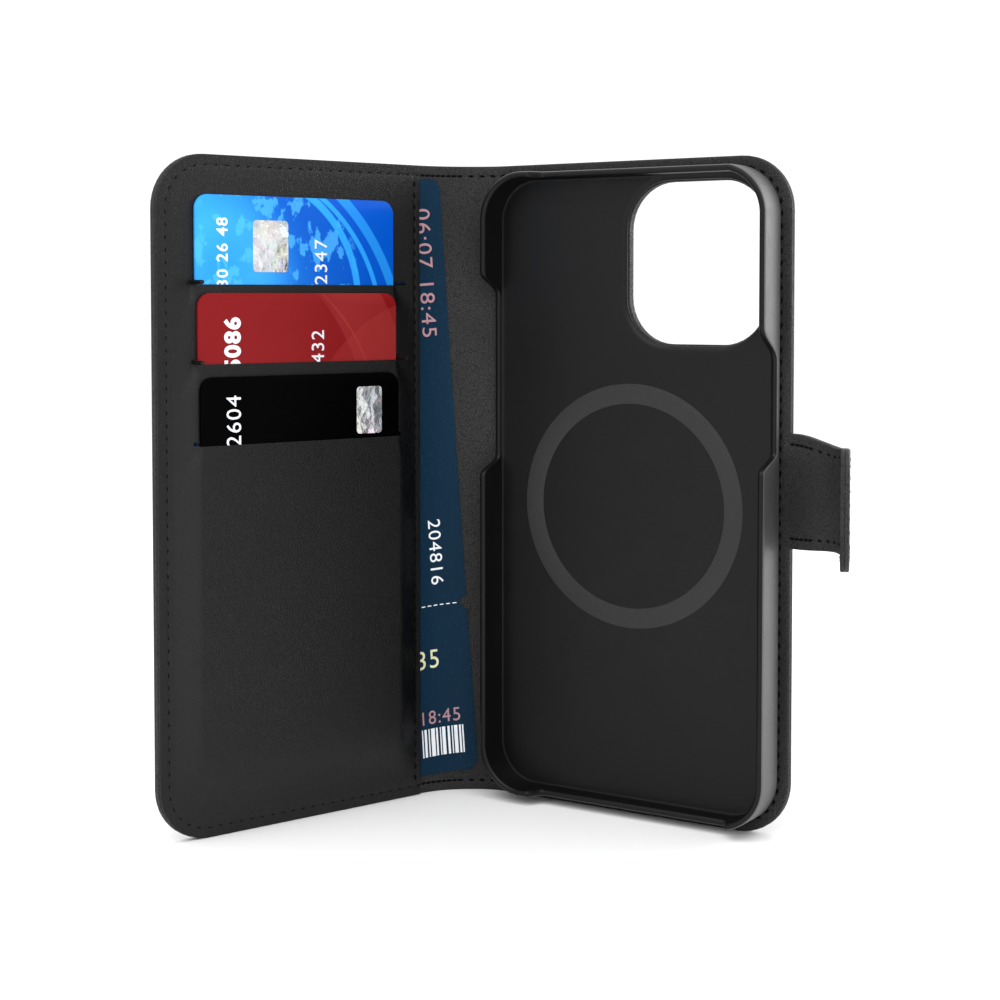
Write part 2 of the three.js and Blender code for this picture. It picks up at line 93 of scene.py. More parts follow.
OUTER_FACE = 2.3                        # the covers' thickness
MEETING = 1.12                          # where lining and skin meet at the cut edge
LINING_UNDER = 0.52
SKIN_UNDER = 1.33
BOARD_INSET = 3.9
SEAM_INSET = 2.4
GROOVE_DEPTH = 0.09
GROOVE_HALF = 0.62
LINING_ROUND = 0.5                      # how round the leathers' cut edges are, on the face
SKIN_ROUND = 0.6
GLUED_ROUND = 0.14                      # and on the side that is glued
GLUE_LINE = 0.04
BORDER = (3.1, 3.8)                     # over these insets the leather climbs from its seam to the board
EDGE_INSETS = (0, 0.05, 0.16, 0.34, 0.6, 1.1, 1.75, 2.05, 2.4, 2.75, 3.05, 3.4, 3.9, 5.5)

PANEL_MOUTH = 6.4                       # the card panel's free edge, from the front fold line
PANEL_FACE = 0.72
PANEL_MARGIN = 0.12                     # the panel is cut this much smaller than the cover
PANEL_PRESSED = 0.16                    # the seam pulls the panel's rim down this much
MOUTH_STITCHES = 1.6                    # the row along the free edge, from that edge
PLY = 0.22
LEVEL = 1.04                            # each card lifts the panel this much
SLOPE_AT_SLIT = 0.7                     # how far a card's lift spreads beside it, at its slit
SLOPE_FREE_SIDE = 6.0                   # and lower down, on either side
SLOPE_FOLD_SIDE = 7.7
SLOPE_RUN = 9.0
POCKET_FOOT = (5.0, 18.8)               # the lift dies away between these heights
CARD_LOW_SIDE = 14.85                   # a card's sides, from the front fold line
CARD_HIGH_SIDE = 68.85
CARD_WIDTH = CARD_HIGH_SIDE - CARD_LOW_SIDE
CARD_HEIGHT = 85.6
CARD_THICKNESS = 0.76
CARD_CORNER = 3.18
CARD_GAP = 0.04
CARD_TOPS = {"blue": 145.9, "red": 123.8, "black": 104.9}
SLITS = (125.7, 107.8, 89.5)
SLIT_GAP = 0.3
SLIT_REACH = 0.8                        # a slit runs on this far past the card
PUNCH = 0.5                             # and ends in a punched hole of this radius

TICKET_SIZE = (62.0, 147.0)
TICKET_TILT = math.radians(3.9)
TICKET_LOW = 5.0
TICKET_REACH = -0.4
TICKET_FACE = 0.04
TICKET_THICKNESS = 0.2
TICKET_CORNER = 3.0
TEAR_LINE = 42.0
TEAR_NOTCH = 1.7

CAMERA_CENTRE = (16.45, 130.75)
CAMERA_SIZE = (35.5, 37.7)
CAMERA_CORNER = 11.0
CAMERA_TURNING = 2.1                    # the board stays this far back for the turned leather edge

STRAP_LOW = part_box("strap_side_outer_ply")[0].z / MM
STRAP_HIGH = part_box("strap_side_outer_ply")[1].z / MM
STRAP_ROOT = Vector(JOINTS["strap_root"]["pos_m"]).xy / MM
STRAP_SIDE = (Vector(JOINTS["strap_fold"]["pos_m"]).xy / MM - STRAP_ROOT).length
STRAP_TAB = 31.0
STRAP_CORNER = 7.0
STRAP_FACES = (0.1, 1.06, 1.09, 2.04)   # behind the back cover's inner face
STRAP_INSETS = (0, 0.05, 0.16, 0.34, 0.7, 1.1, 1.75, 2.05, 2.4, 2.75, 3.05, 3.8)
STRAP_ROOT_LEG = 2.2                    # how far the strap's curves run from its root and its fold
STRAP_LEG = 6.5
STRAP_WAIST_TOP = 2.2                   # how far its edges draw in at the fold
STRAP_WAIST_BOTTOM = 0.8
STRAP_GLUED_ROUND = 0.12
STRAP_LAP = 0.8                         # the side part goes this far under the back cover's edge
TAB_ANGLE = math.radians(JOINTS["strap_fold"]["range_deg"][1])
SIDE_ANGLE = math.radians(90 + JOINTS["strap_root"]["range_deg"][0])

TRAY_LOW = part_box("phone_tray")[0] / MM
TRAY_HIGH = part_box("phone_tray")[1] / MM
TRAY_CORNER = 11.5
TRAY_DEPTH = FACE_Y - TRAY_LOW.y
TRAY_FLOOR = 1.2
RING_FACE = TRAY_FLOOR + 0.05
RING_SEAT = TRAY_FLOOR - 0.08
RING_Z = (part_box("magnet_ring_trim")[0].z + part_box("magnet_ring_trim")[1].z) / 2 / MM
RING_OUTER = 29.0
RING_INNER = 24.2
# Where each wall's rim is low: from, to, its run down, its run up, and how high it stands there.
LOW_RIMS = {
    "spine": (84.4, 123.0, 5.1, 6.3, 2.2),
    "strap": (88.2, 108.0, 5.1, 8.8, 2.2),
    "end": (-21.5, 27.0, 3.0, 2.4, 5.6),
}


# ------------------------------------------------------------------ small sums

def ease(value, start, end):
    """0 before start, 1 after end, and smooth between them."""
    t = min(1.0, max(0.0, (value - start) / (end - start)))
    return t * t * (3 - 2 * t)


def spread(start, end, count):
    """count + 1 numbers from start to end."""
    return [start + (end - start) * i / count for i in range(count + 1)]


def quarter_round(inset, radius):
    """How far a rounded edge falls below its face, at an inset from the cut."""
    if inset >= radius:
        return 0.0
    return radius - math.sqrt(max(0.0, radius * radius - (radius - inset) ** 2))


def groove(distance):
    """The dent that a row of stitches pulls into leather."""
    if abs(distance) > GROOVE_HALF:
        return 0.0
    return GROOVE_DEPTH * (0.5 + 0.5 * math.cos(math.pi * distance / GROOVE_HALF))


# ------------------------------------------------------------------ where flat leather goes

def turned(direction, angle):
    c, s = math.cos(angle), math.sin(angle)
    return Vector((direction.x * c - direction.y * s, direction.x * s + direction.y * c))


def round_fold(corner, before, after, leg_in, leg_out, along):
    """Point and direction on a curve that rounds a fold; along is the way past its start."""
    if abs(leg_out - leg_in) < 1e-6:
        t = along / (2 * leg_in)
    else:
        t = (-leg_in + math.sqrt(leg_in ** 2 + (leg_out - leg_in) * along)) / (leg_out - leg_in)
    start, end = corner - before * leg_in, corner + after * leg_out
    point = start * (1 - t) ** 2 + corner * (2 * t * (1 - t)) + end * t * t
    return point, (before * leg_in * (1 - t) + after * leg_out * t).normalized()


BACK_WAY = Vector((-1.0, 0.0))
SPINE_WAY = turned(BACK_WAY, FOLD_ANGLE)
FRONT_WAY = turned(BACK_WAY, 2 * FOLD_ANGLE)


def over_covers(a, n, z):
    """a counts from the back fold line: below 0 on the back cover, past the spine on the front cover."""
    if a < -BACK_LEG:
        point, way = BACK_FOLD + BACK_WAY * a, BACK_WAY
    elif a < HALF_SPINE:
        point, way = round_fold(BACK_FOLD, BACK_WAY, SPINE_WAY, BACK_LEG, HALF_SPINE, a + BACK_LEG)
    elif a < SPINE + FRONT_LEG:
        point, way = round_fold(FRONT_FOLD, SPINE_WAY, FRONT_WAY, HALF_SPINE, FRONT_LEG, a - HALF_SPINE)
    else:
        point, way = FRONT_FOLD + FRONT_WAY * (a - SPINE), FRONT_WAY
    spot = point + Vector((-way.y, way.x)) * n
    return Vector((spot.x, spot.y, z)) * MM


def on_back(p, n, z):
    """p counts from the middle of the spine to the strap side."""
    return over_covers(HALF_SPINE - p, n, z)


def on_front(p, n, z):
    """p counts from the middle of the spine to the front cover's free edge."""
    return over_covers(HALF_SPINE + p, n, z)


def on_front_cover(v, n, z):
    """v counts from the front fold line."""
    return over_covers(SPINE + v, n, z)


def on_back_cover(x, n, z):
    """x is the row frame's own."""
    return Vector((x, FACE_Y - n, z)) * MM


def strap_waist(a, z):
    """The strap draws in towards the tab's fold and widens again to its end."""
    middle = (STRAP_LOW + STRAP_HIGH) / 2
    share = ease(a, 1.0, STRAP_SIDE) * min(1.0, 1 - (a - STRAP_SIDE) / STRAP_TAB)
    most = STRAP_WAIST_TOP if z > middle else STRAP_WAIST_BOTTOM
    return z - most * share * (z - middle) / (STRAP_HIGH - middle)


def on_strap(a, n, z):
    """a counts from the strap's root to the end of its tab."""
    z = strap_waist(a, z)
    root_way = Vector((1.0, 0.0))
    way = turned(root_way, -SIDE_ANGLE)
    tab_way = turned(way, -TAB_ANGLE)
    corner = STRAP_ROOT + way * STRAP_SIDE
    if a < STRAP_ROOT_LEG:
        point, way = round_fold(STRAP_ROOT, root_way, way, STRAP_ROOT_LEG, STRAP_ROOT_LEG,
                                a + STRAP_ROOT_LEG)
    elif a < STRAP_SIDE - STRAP_LEG:
        point = STRAP_ROOT + way * a
    elif a < STRAP_SIDE + STRAP_LEG:
        point, way = round_fold(corner, way, tab_way, STRAP_LEG, STRAP_LEG, a - STRAP_SIDE + STRAP_LEG)
    else:
        point, way = corner + tab_way * (a - STRAP_SIDE), tab_way
    spot = point + Vector((way.y, -way.x)) * n
    return Vector((spot.x, spot.y, z)) * MM


# ------------------------------------------------------------------ mesh work

def new_object(name, data):
    obj = bpy.data.objects.new(name, data)
    bpy.context.scene.collection.objects.link(obj)
    return obj


def turn_outwards(mesh):
    made = bmesh.new()
    made.from_mesh(mesh)
    bmesh.ops.recalc_face_normals(made, faces=made.faces)
    made.to_mesh(mesh)
    made.free()


def mesh_object(name, vertices, faces):
    """A closed mesh with its faces turned outwards."""
    mesh = bpy.data.meshes.new(name)
    mesh.from_pydata([tuple(v) for v in vertices], [], faces)
    turn_outwards(mesh)
    return new_object(name, mesh)


def slab_faces(faces, count):
    """Faces of a sheet with count points, the same faces on its far side, and the wall round its rim."""
    rim = {}
    for face in faces:
        for i, corner in enumerate(face):
            pair = (face[i - 1], corner)
            rim[frozenset(pair)] = None if frozenset(pair) in rim else pair
    far = [tuple(i + count for i in reversed(face)) for face in faces]
    wall = [(j, i, i + count, j + count) for i, j in filter(None, rim.values())]
    return list(faces) + far + wall


def loft(name, rings, round_again=False):
    """Skins a row of equal rings; its ends are capped, or joined to each other."""
    count = len(rings[0])
    vertices = [point for ring in rings for point in ring]
    faces = []
    pairs = len(rings) if round_again else len(rings) - 1
    for r in range(pairs):
        low, high = r * count, (r + 1) % len(rings) * count
        for i in range(count):
            j = (i + 1) % count
            faces.append((low + i, low + j, high + j, high + i))
    if not round_again:
        faces.append(tuple(range(count)))
        faces.append(tuple(range(len(vertices) - count, len(vertices))))
    return mesh_object(name, vertices, faces)


def baked(obj):
    """Applies what modifiers the object has."""
    graph = bpy.context.evaluated_depsgraph_get()
    mesh = bpy.data.meshes.new_from_object(obj.evaluated_get(graph))
    obj.modifiers.clear()
    obj.data = mesh
    return obj


def cut(obj, *cutters):
    for cutter in cutters:
        tool = obj.modifiers.new("cut", "BOOLEAN")
        tool.object = cutter
        tool.operation = "DIFFERENCE"
        tool.solver = "EXACT"
        baked(obj)
        bpy.data.objects.remove(cutter)
    return obj


def settle(obj, place, material, sharp=38, chart=None):
    """Lays a flat piece where it goes, and gives it its shading, its material and a chart for its print."""
    mesh = obj.data
    flat = [v.co.copy() for v in mesh.vertices]
    if chart:
        layer = mesh.uv_layers.new(name="print")
        for loop in mesh.loops:
            p, _, z = flat[loop.vertex_index]
            layer.data[loop.index].uv = chart(p, z)
    for vertex, co in zip(mesh.vertices, flat):
        vertex.co = place(*co)
    turn_outwards(mesh)
    mesh.materials.clear()
    mesh.materials.append(material)
    mesh.shade_smooth()
    mesh.set_sharp_from_angle(angle=math.radians(sharp))
    return obj


def rounded_outline(centre, size, corner, grow=0.0, steps=10):
    """Points round a rectangle with round corners, as (p, z)."""
    half_p, half_z = size[0] / 2 + grow, size[1] / 2 + grow
    radius = max(corner + grow, 0.01)
    points = []
    for quadrant in range(4):
        side_p = 1 if quadrant in (0, 3) else -1
        side_z = 1 if quadrant < 2 else -1
        for angle in spread(quadrant * math.pi / 2, (quadrant + 1) * math.pi / 2, steps):
            points.append((
                centre[0] + side_p * (half_p - radius) + radius * math.cos(angle),
                centre[1] + side_z * (half_z - radius) + radius * math.sin(angle),
            ))
    return points


def prism(name, outline, layers):
    """A solid of outlines: layers are (n, grow) and outline(grow) gives the points."""
    return loft(name, [[(p, n, z) for p, z in outline(grow)] for n, grow in layers])


def rod(name, centre, radius, low, high, steps=20):
    circle = []
    for i in range(steps):
        angle = 2 * math.pi * i / steps
        circle.append((centre[0] + radius * math.cos(angle), centre[1] + radius * math.sin(angle)))
    return loft(name, [[(p, n, z) for p, z in circle] for n in (low, high)])


class Leaf:
    """A flat piece of leather: square at its hinge end, and round-cornered at its free end or open there."""

    foot_rows = 4

    def __init__(self, length, low, high, corner, is_open=False, angles=None):
        self.length, self.low, self.high, self.corner = length, low, high, corner
        self.is_open = is_open
        self.angles = angles or [math.radians(a) for a in spread(0, 90, 12)[1:]]

    def inset(self, p, z):
        """Distance from the nearest cut edge."""
        across = min(z - self.low, self.high - z)
        if self.is_open:
            return across
        over = p - (self.length - self.corner)
        if over > 0 and across < self.corner:
            return self.corner - math.hypot(over, self.corner - across)
        return min(across, self.length - p)

    def seam(self, inset, start):
        """Points along a seam at an inset, from start round the free end and back."""
        low, high = self.low + inset, self.high - inset
        if self.is_open:
            return [(start, low), (self.length, low)], [(start, high), (self.length, high)]
        radius, turn = self.corner - inset, self.length - self.corner
        arc = [math.radians(a) for a in spread(0, 90, 10)]
        lower = [(turn + radius * math.sin(a), low + radius * (1 - math.cos(a))) for a in arc]
        upper = [(p, self.low + self.high - z) for p, z in reversed(lower)]
        return ([(start, low)] + lower + upper + [(start, high)],)

    def build(self, name, columns, rows, insets, top, under, gap=None):
        """The leaf as a closed slab between two heights, each a function of p, z and the inset."""
        self.points, self.index, self.faces = [], {}, []
        inner = insets[-1]
        base = [(p, self.low + inner, 0.0, -1.0) for p in columns]
        foot = 0
        if not self.is_open:
            foot = self.foot_rows
            radius, turn = self.corner - inner, self.length - self.corner
            for angle in self.angles:
                s, c = math.sin(angle), math.cos(angle)
                base.append((turn + radius * s, self.low + self.corner - radius * c, s, -c))
        grid = []
        for p, z, _, _ in base:
            steps = [z + (rows[0] - z) * k / foot for k in range(foot)]
            line = steps + list(rows) + [self.low + self.high - s for s in reversed(steps)]
            grid.append([self.point(p, height) for height in line])
        for left, right in zip(grid, grid[1:]):
            for k in range(len(left) - 1):
                corners = (left[k], right[k], right[k + 1], left[k + 1])
                middle = [sum(self.points[i][axis] for i in corners) / 4 for axis in (0, 1)]
                if not (gap and gap(*middle)):
                    self.face(corners)
        lower = [(line[0], dp, dz) for line, (_, _, dp, dz) in zip(grid, base)]
        upper = [(line[-1], dp, -dz) for line, (_, _, dp, dz) in zip(grid, base)]
        if self.is_open:
            self.fringe(lower, insets)
            self.fringe(upper, insets)
        else:
            side = [(i, 1.0, 0.0) for i in grid[-1][foot + 1:-foot - 1]]
            self.fringe(lower + side + upper[::-1], insets)
        return self.thicken(name, top, under)

    def point(self, p, z):
        key = (round(p, 4), round(z, 4))
        if key not in self.index:
            self.index[key] = len(self.points)
            self.points.append((p, z))
        return self.index[key]

    def face(self, corners):
        kept = [c for i, c in enumerate(corners) if c != corners[i - 1]]
        if len(set(kept)) > 2:
            self.faces.append(tuple(kept))

    def fringe(self, edge, insets):
        """Rings from the grid's rim out to the cut edge."""
        inner = insets[-1]
        last = [i for i, _, _ in edge]
        for inset in reversed(insets[:-1]):
            ring = []
            for i, dp, dz in edge:
                p, z = self.points[i]
                ring.append(self.point(p + dp * (inner - inset), z + dz * (inner - inset)))
            for k in range(len(ring) - 1):
                self.face((last[k], last[k + 1], ring[k + 1], ring[k]))
            last = ring

    def thicken(self, name, top, under):
        insets = [self.inset(p, z) for p, z in self.points]
        vertices = [(p, top(p, z, d), z) for (p, z), d in zip(self.points, insets)]
        vertices += [(p, under(p, z, d), z) for (p, z), d in zip(self.points, insets)]
        return mesh_object(name, vertices, slab_faces(self.faces, len(self.points)))


# ------------------------------------------------------------------ shader helpers

class Tree:
    """Adds nodes to a tree, with sockets given as values or as other nodes' outputs."""

    def __init__(self, tree):
        self.tree = tree

    def add(self, kind, sockets=None, **settings):
        node = self.tree.nodes.new(kind)
        for name, value in settings.items():
            setattr(node, name, value)
        for key, value in (sockets or {}).items():
            self.feed(node.inputs[key], value)
        return node

    def feed(self, socket, value):
        if isinstance(value, bpy.types.NodeSocket):
            self.tree.links.new(value, socket)
        else:
            socket.default_value = value

    def place(self):
        """Where a point is on its piece."""
        return self.add("ShaderNodeTexCoord").outputs["Object"]

    def maths(self, operation, *values):
        node = self.add("ShaderNodeMath", operation=operation)
        for i, value in enumerate(values):
            self.feed(node.inputs[i], value)
        return node.outputs[0]

    def blend(self, factor, first, second, mode="MIX"):
        node = self.add("ShaderNodeMix", data_type="RGBA", blend_type=mode)
        for name, value in (("Factor_Float", factor), ("A_Color", first), ("B_Color", second)):
            socket = next(s for s in node.inputs if s.identifier == name)
            self.feed(socket, value)
        return next(s for s in node.outputs if s.identifier == "Result_Color")

    def step(self, value, low, high):
        """0 below low and 1 above high, smoothly."""
        node = self.add("ShaderNodeMapRange", {0: value, 1: low, 2: high, 3: 0.0, 4: 1.0},
                        interpolation_type="SMOOTHSTEP")
        return node.outputs[0]

    def noise(self, vector, scale, detail=3.0, roughness=0.55):
        node = self.add("ShaderNodeTexNoise", {"Vector": vector, "Scale": scale, "Detail": detail,
                                               "Roughness": roughness})
        return node.outputs["Fac"]


def grey(value):
    return (value, value, value, 1.0)


def shader_group(name, inputs, outputs):
    group = bpy.data.node_groups.new(name, "ShaderNodeTree")
    for label, kind, value in inputs:
        socket = group.interface.new_socket(name=label, in_out="INPUT", socket_type=kind)
        socket.default_value = value
    for label, kind in outputs:
        group.interface.new_socket(name=label, in_out="OUTPUT", socket_type=kind)
    tree = Tree(group)
    return group, tree, tree.add("NodeGroupInput").outputs, tree.add("NodeGroupOutput")


FLOAT = "NodeSocketFloat"


def leather_grain_group():
    """Pebbled grain with fine pores: a height, and how deep in a valley each point is."""
    group, tree, given, result = shader_group(
        "Leather Grain",
        [("Pebble Scale", FLOAT, 1500.0), ("Pore Scale", FLOAT, 6000.0), ("Pore Share", FLOAT, 0.25)],
        [("Height", FLOAT), ("Valley", FLOAT)])
    place = tree.place()
    wander = tree.add("ShaderNodeTexNoise", {"Vector": place, "Scale": 900.0, "Detail": 1.0})
    shift = tree.add("ShaderNodeVectorMath", {0: wander.outputs["Color"], "Scale": 0.0006},
                     operation="SCALE")
    moved = tree.add("ShaderNodeVectorMath", {0: place, 1: shift.outputs[0]}, operation="ADD")
    cells = tree.add("ShaderNodeTexVoronoi", {"Vector": moved.outputs[0], "Scale": given["Pebble Scale"]},
                     feature="DISTANCE_TO_EDGE")
    pebble = tree.step(cells.outputs["Distance"], 0.0, 0.22)
    pores = tree.noise(moved.outputs[0], given["Pore Scale"], 2.0)
    fine = tree.maths("MULTIPLY", pores, given["Pore Share"])
    tree.feed(result.inputs["Height"], tree.maths("ADD", pebble, fine))
    tree.feed(result.inputs["Valley"], tree.maths("SUBTRACT", 1.0, pebble))
    return group


def handling_group():
    """Slow changes over a surface that is handled: a tint mask, and where the sheen is rubbed up."""
    group, tree, given, result = shader_group(
        "Handling",
        [("Patch Scale", FLOAT, 40.0), ("Streak Scale", FLOAT, 260.0)],
        [("Patch", FLOAT), ("Rub", FLOAT)])
    place = tree.place()
    patch = tree.noise(place, given["Patch Scale"], 2.0)
    rub = tree.noise(place, given["Streak Scale"], 4.0, 0.65)
    tree.feed(result.inputs["Patch"], tree.step(patch, 0.3, 0.7))
    tree.feed(result.inputs["Rub"], tree.step(rub, 0.35, 0.75))
    return group


def fine_texture_group():
    """The fine, even texture of a moulded or printed face."""
    group, tree, given, result = shader_group(
        "Fine Texture", [("Grain Scale", FLOAT, 5000.0)], [("Height", FLOAT), ("Fleck", FLOAT)])
    place = tree.place()
    grain = tree.noise(place, given["Grain Scale"], 3.0, 0.7)
    tree.feed(result.inputs["Height"], grain)
    tree.feed(result.inputs["Fleck"], tree.step(grain, 0.45, 0.7))
    return group


GRAIN = leather_grain_group()
HANDLING = handling_group()
TEXTURE = fine_texture_group()


def new_material(name):
    material = bpy.data.materials.new(name)
    material.use_nodes = True
    material.node_tree.nodes.clear()
    tree = Tree(material.node_tree)
    surface = tree.add("ShaderNodeBsdfPrincipled")
    output = tree.add("ShaderNodeOutputMaterial")
    tree.feed(output.inputs["Surface"], surface.outputs[0])
    return material, tree, surface


def use_group(tree, group, **values):
    node = tree.add("ShaderNodeGroup", node_tree=group)
    for name, value in values.items():
        tree.feed(node.inputs[name.replace("_", " ")], value)
    return node.outputs


def bump(tree, height, distance, strength=1.0):
    node = tree.add("ShaderNodeBump", {"Height": height, "Distance": distance, "Strength": strength})
    return node.outputs["Normal"]


def spread_between(tree, mask, low, high):
    """low where the mask is 0 and high where it is 1."""
    return tree.add("ShaderNodeMapRange", {0: mask, 3: low, 4: high}).outputs[0]


# ------------------------------------------------------------------ finishes

def leather(name, tone, roughness, pebble, depth, shine):
    """Pebbled leather: pebble is its grain's scale, depth how far the grain stands up, in metres."""
    material, tree, surface = new_material(name)
    grain = use_group(tree, GRAIN, Pebble_Scale=pebble, Pore_Scale=pebble * 3.5)
    hand = use_group(tree, HANDLING)
    worn = tree.blend(hand["Patch"], grey(tone * 0.85), grey(tone * 1.2))
    colour = tree.blend(grain["Valley"], worn, grey(tone * 0.45))
    tree.feed(surface.inputs["Base Color"], colour)
    rough = tree.maths("ADD", spread_between(tree, hand["Rub"], roughness + 0.05, roughness - 0.05),
                       tree.maths("MULTIPLY", grain["Valley"], 0.15))
    tree.feed(surface.inputs["Roughness"], rough)
    tree.feed(surface.inputs["Normal"], bump(tree, grain["Height"], depth))
    surface.inputs["Specular IOR Level"].default_value = shine
    return material


def thread_finish():
    """Twisted black polyester: slanting plies along each stitch."""
    material, tree, surface = new_material("black_thread")
    place = tree.place()
    turned_place = tree.add("ShaderNodeMapping", {"Vector": place, "Rotation": (0.6, 0.5, 0.7)}).outputs[0]
    plies = tree.add("ShaderNodeTexWave", {"Vector": turned_place, "Scale": 1900.0, "Distortion": 1.5})
    fuzz = tree.noise(place, 9000.0, 2.0)
    tree.feed(surface.inputs["Base Color"], tree.blend(plies.outputs["Fac"], grey(0.001), grey(0.004)))
    surface.inputs["Specular IOR Level"].default_value = 0.06
    tree.feed(surface.inputs["Roughness"], spread_between(tree, fuzz, 0.6, 0.8))
    tree.feed(surface.inputs["Normal"], bump(tree, plies.outputs["Fac"], 0.00008))
    return material


def moulded_finish(name, tone, roughness, grain_scale, depth, shine):
    """Plastic or print with a fine, even grain."""
    material, tree, surface = new_material(name)
    texture = use_group(tree, TEXTURE, Grain_Scale=grain_scale)
    hand = use_group(tree, HANDLING, Patch_Scale=25.0, Streak_Scale=140.0)
    base = tree.blend(hand["Patch"], grey(tone * 0.92), grey(tone * 1.08))
    tree.feed(surface.inputs["Base Color"], tree.blend(texture["Fleck"], base, grey(tone * 1.5)))
    tree.feed(surface.inputs["Roughness"],
              spread_between(tree, hand["Rub"], roughness + 0.04, roughness - 0.04))
    tree.feed(surface.inputs["Normal"], bump(tree, texture["Height"], depth))
    surface.inputs["Specular IOR Level"].default_value = shine
    return material


def board_finish():
    material, tree, surface = new_material("greyboard")
    place = tree.place()
    fibres = tree.noise(place, 700.0, 5.0, 0.7)
    specks = tree.add("ShaderNodeTexVoronoi", {"Vector": place, "Scale": 900.0}).outputs["Distance"]
    base = tree.blend(fibres, (0.10, 0.09, 0.075, 1), (0.19, 0.17, 0.145, 1))
    tree.feed(surface.inputs["Base Color"], tree.blend(tree.step(specks, 0.12, 0.2), grey(0.05), base))
    tree.feed(surface.inputs["Normal"], bump(tree, fibres, 0.0001))
    surface.inputs["Roughness"].default_value = 0.9
    return material


def metal_finish(name, colour, dark, roughness, stretch):
    """Metal with a drawn or plated surface; stretch is how long its fine lines are."""
    material, tree, surface = new_material(name)
    place = tree.place()
    lines = tree.add("ShaderNodeMapping", {"Vector": place, "Scale": (1.0, 1.0, stretch)}).outputs[0]
    scratches = tree.noise(lines, 2500.0, 4.0, 0.6)
    smudge = tree.noise(place, 90.0, 2.0)
    tree.feed(surface.inputs["Base Color"], tree.blend(smudge, colour, dark))
    tree.feed(surface.inputs["Roughness"],
              spread_between(tree, scratches, roughness - 0.08, roughness + 0.12))
    tree.feed(surface.inputs["Normal"], bump(tree, scratches, 0.00002))
    surface.inputs["Metallic"].default_value = 1.0
    return material


def print_chart(tree):
    """The print's own coordinates: across and up a card or ticket, each 0 to 1."""
    chart = tree.add("ShaderNodeUVMap", uv_map="print").outputs[0]
    parts = tree.add("ShaderNodeSeparateXYZ", {0: chart})
    return chart, parts.outputs[0], parts.outputs[1]


def ring_band(tree, across, up, centre, radius, width, soft):
    """A mask that is 1 inside a band of a circle drawn on a card."""
    dx = tree.maths("MULTIPLY", tree.maths("SUBTRACT", across, centre[0]), CARD_WIDTH)
    dy = tree.maths("MULTIPLY", tree.maths("SUBTRACT", up, centre[1]), CARD_HEIGHT)
    squares = [tree.maths("MULTIPLY", part, part) for part in (dx, dy)]
    far = tree.maths("SQRT", tree.maths("ADD", *squares))
    inside = tree.step(far, radius, radius + soft)
    outside = tree.step(far, radius + width, radius + width + soft)
    return tree.maths("SUBTRACT", inside, outside)


def laminate(tree, surface, colour):
    """A card's clear laminate over its print."""
    texture = use_group(tree, TEXTURE, Grain_Scale=2600.0)
    hand = use_group(tree, HANDLING, Patch_Scale=60.0, Streak_Scale=400.0)
    tree.feed(surface.inputs["Base Color"], colour)
    tree.feed(surface.inputs["Roughness"], spread_between(tree, hand["Rub"], 0.36, 0.3))
    tree.feed(surface.inputs["Normal"], bump(tree, texture["Height"], 0.000008))
    surface.inputs["Specular IOR Level"].default_value = 0.12


def blue_card_finish():
    material, tree, surface = new_material("blue_card_print")
    chart, across, up = print_chart(tree)
    cloud = tree.noise(chart, 3.0, 2.0)
    lean = tree.maths("ADD", across, tree.maths("MULTIPLY", tree.maths("SUBTRACT", up, 0.88), 0.9))
    drift = tree.maths("ADD", lean, tree.maths("MULTIPLY", tree.maths("SUBTRACT", cloud, 0.5), 0.25))
    colour = tree.blend(tree.step(drift, 0.05, 0.62), (0.022, 0.29, 0.81, 1), (0.0, 0.088, 0.51, 1))
    glow = ring_band(tree, across, up, (0.12, 0.80), 0.0, 10.0, 12.0)
    colour = tree.blend(tree.maths("MULTIPLY", glow, 0.4), colour, (0.06, 0.47, 0.97, 1))
    globe = ring_band(tree, across, up, (0.36, 0.80), 20.0, 26.0, 1.0)
    globe = tree.maths("MULTIPLY", globe, tree.step(across, 0.3, 0.55))
    colour = tree.blend(tree.maths("MULTIPLY", globe, 0.65), colour, (0.0, 0.08, 0.54, 1))
    islands = tree.step(tree.noise(chart, 11.0, 4.0), 0.53, 0.57)
    inner = ring_band(tree, across, up, (0.36, 0.80), 4.0, 18.0, 3.0)
    colour = tree.blend(tree.maths("MULTIPLY", tree.maths("MULTIPLY", islands, inner), 0.55), colour,
                        (0.08, 0.48, 0.98, 1))
    for centre, radius, width, share in (((0.28, 0.72), 27.5, 1.8, 0.75), ((0.2, 0.62), 39.0, 1.2, 0.7),
                                         ((0.1, 0.55), 50.0, 2.4, 0.5)):
        sweep = ring_band(tree, across, up, centre, radius, width, 0.35)
        colour = tree.blend(tree.maths("MULTIPLY", sweep, share), colour, (0.03, 0.40, 0.98, 1))
    laminate(tree, surface, colour)
    return material


def red_card_finish():
    material, tree, surface = new_material("red_card_print")
    chart, across, up = print_chart(tree)
    glow = ring_band(tree, across, up, (0.42, 0.55), 0.0, 2.0, 30.0)
    colour = tree.blend(glow, (0.20, 0.006, 0.008, 1), (0.31, 0.018, 0.020, 1))
    for centre, radius, width, share in (((0.0, 0.62), 45.0, 14.0, 0.35), ((1.25, 0.5), 30.0, 12.0, 0.3),
                                         ((0.1, 0.6), 43.5, 0.35, 0.8)):
        sweep = ring_band(tree, across, up, centre, radius, width, 0.3)
        faded = tree.maths("MULTIPLY", sweep, tree.step(across, 0.5, 0.75))
        colour = tree.blend(tree.maths("MULTIPLY", faded, share), colour, (0.34, 0.035, 0.034, 1))
    laminate(tree, surface, colour)
    return material


def black_card_finish():
    material, tree, surface = new_material("black_card_print")
    chart, across, up = print_chart(tree)
    cloud = tree.noise(chart, 5.0, 3.0)
    laminate(tree, surface, tree.blend(cloud, grey(0.0003), grey(0.0008)))
    surface.inputs["Specular IOR Level"].default_value = 0.02
    return material


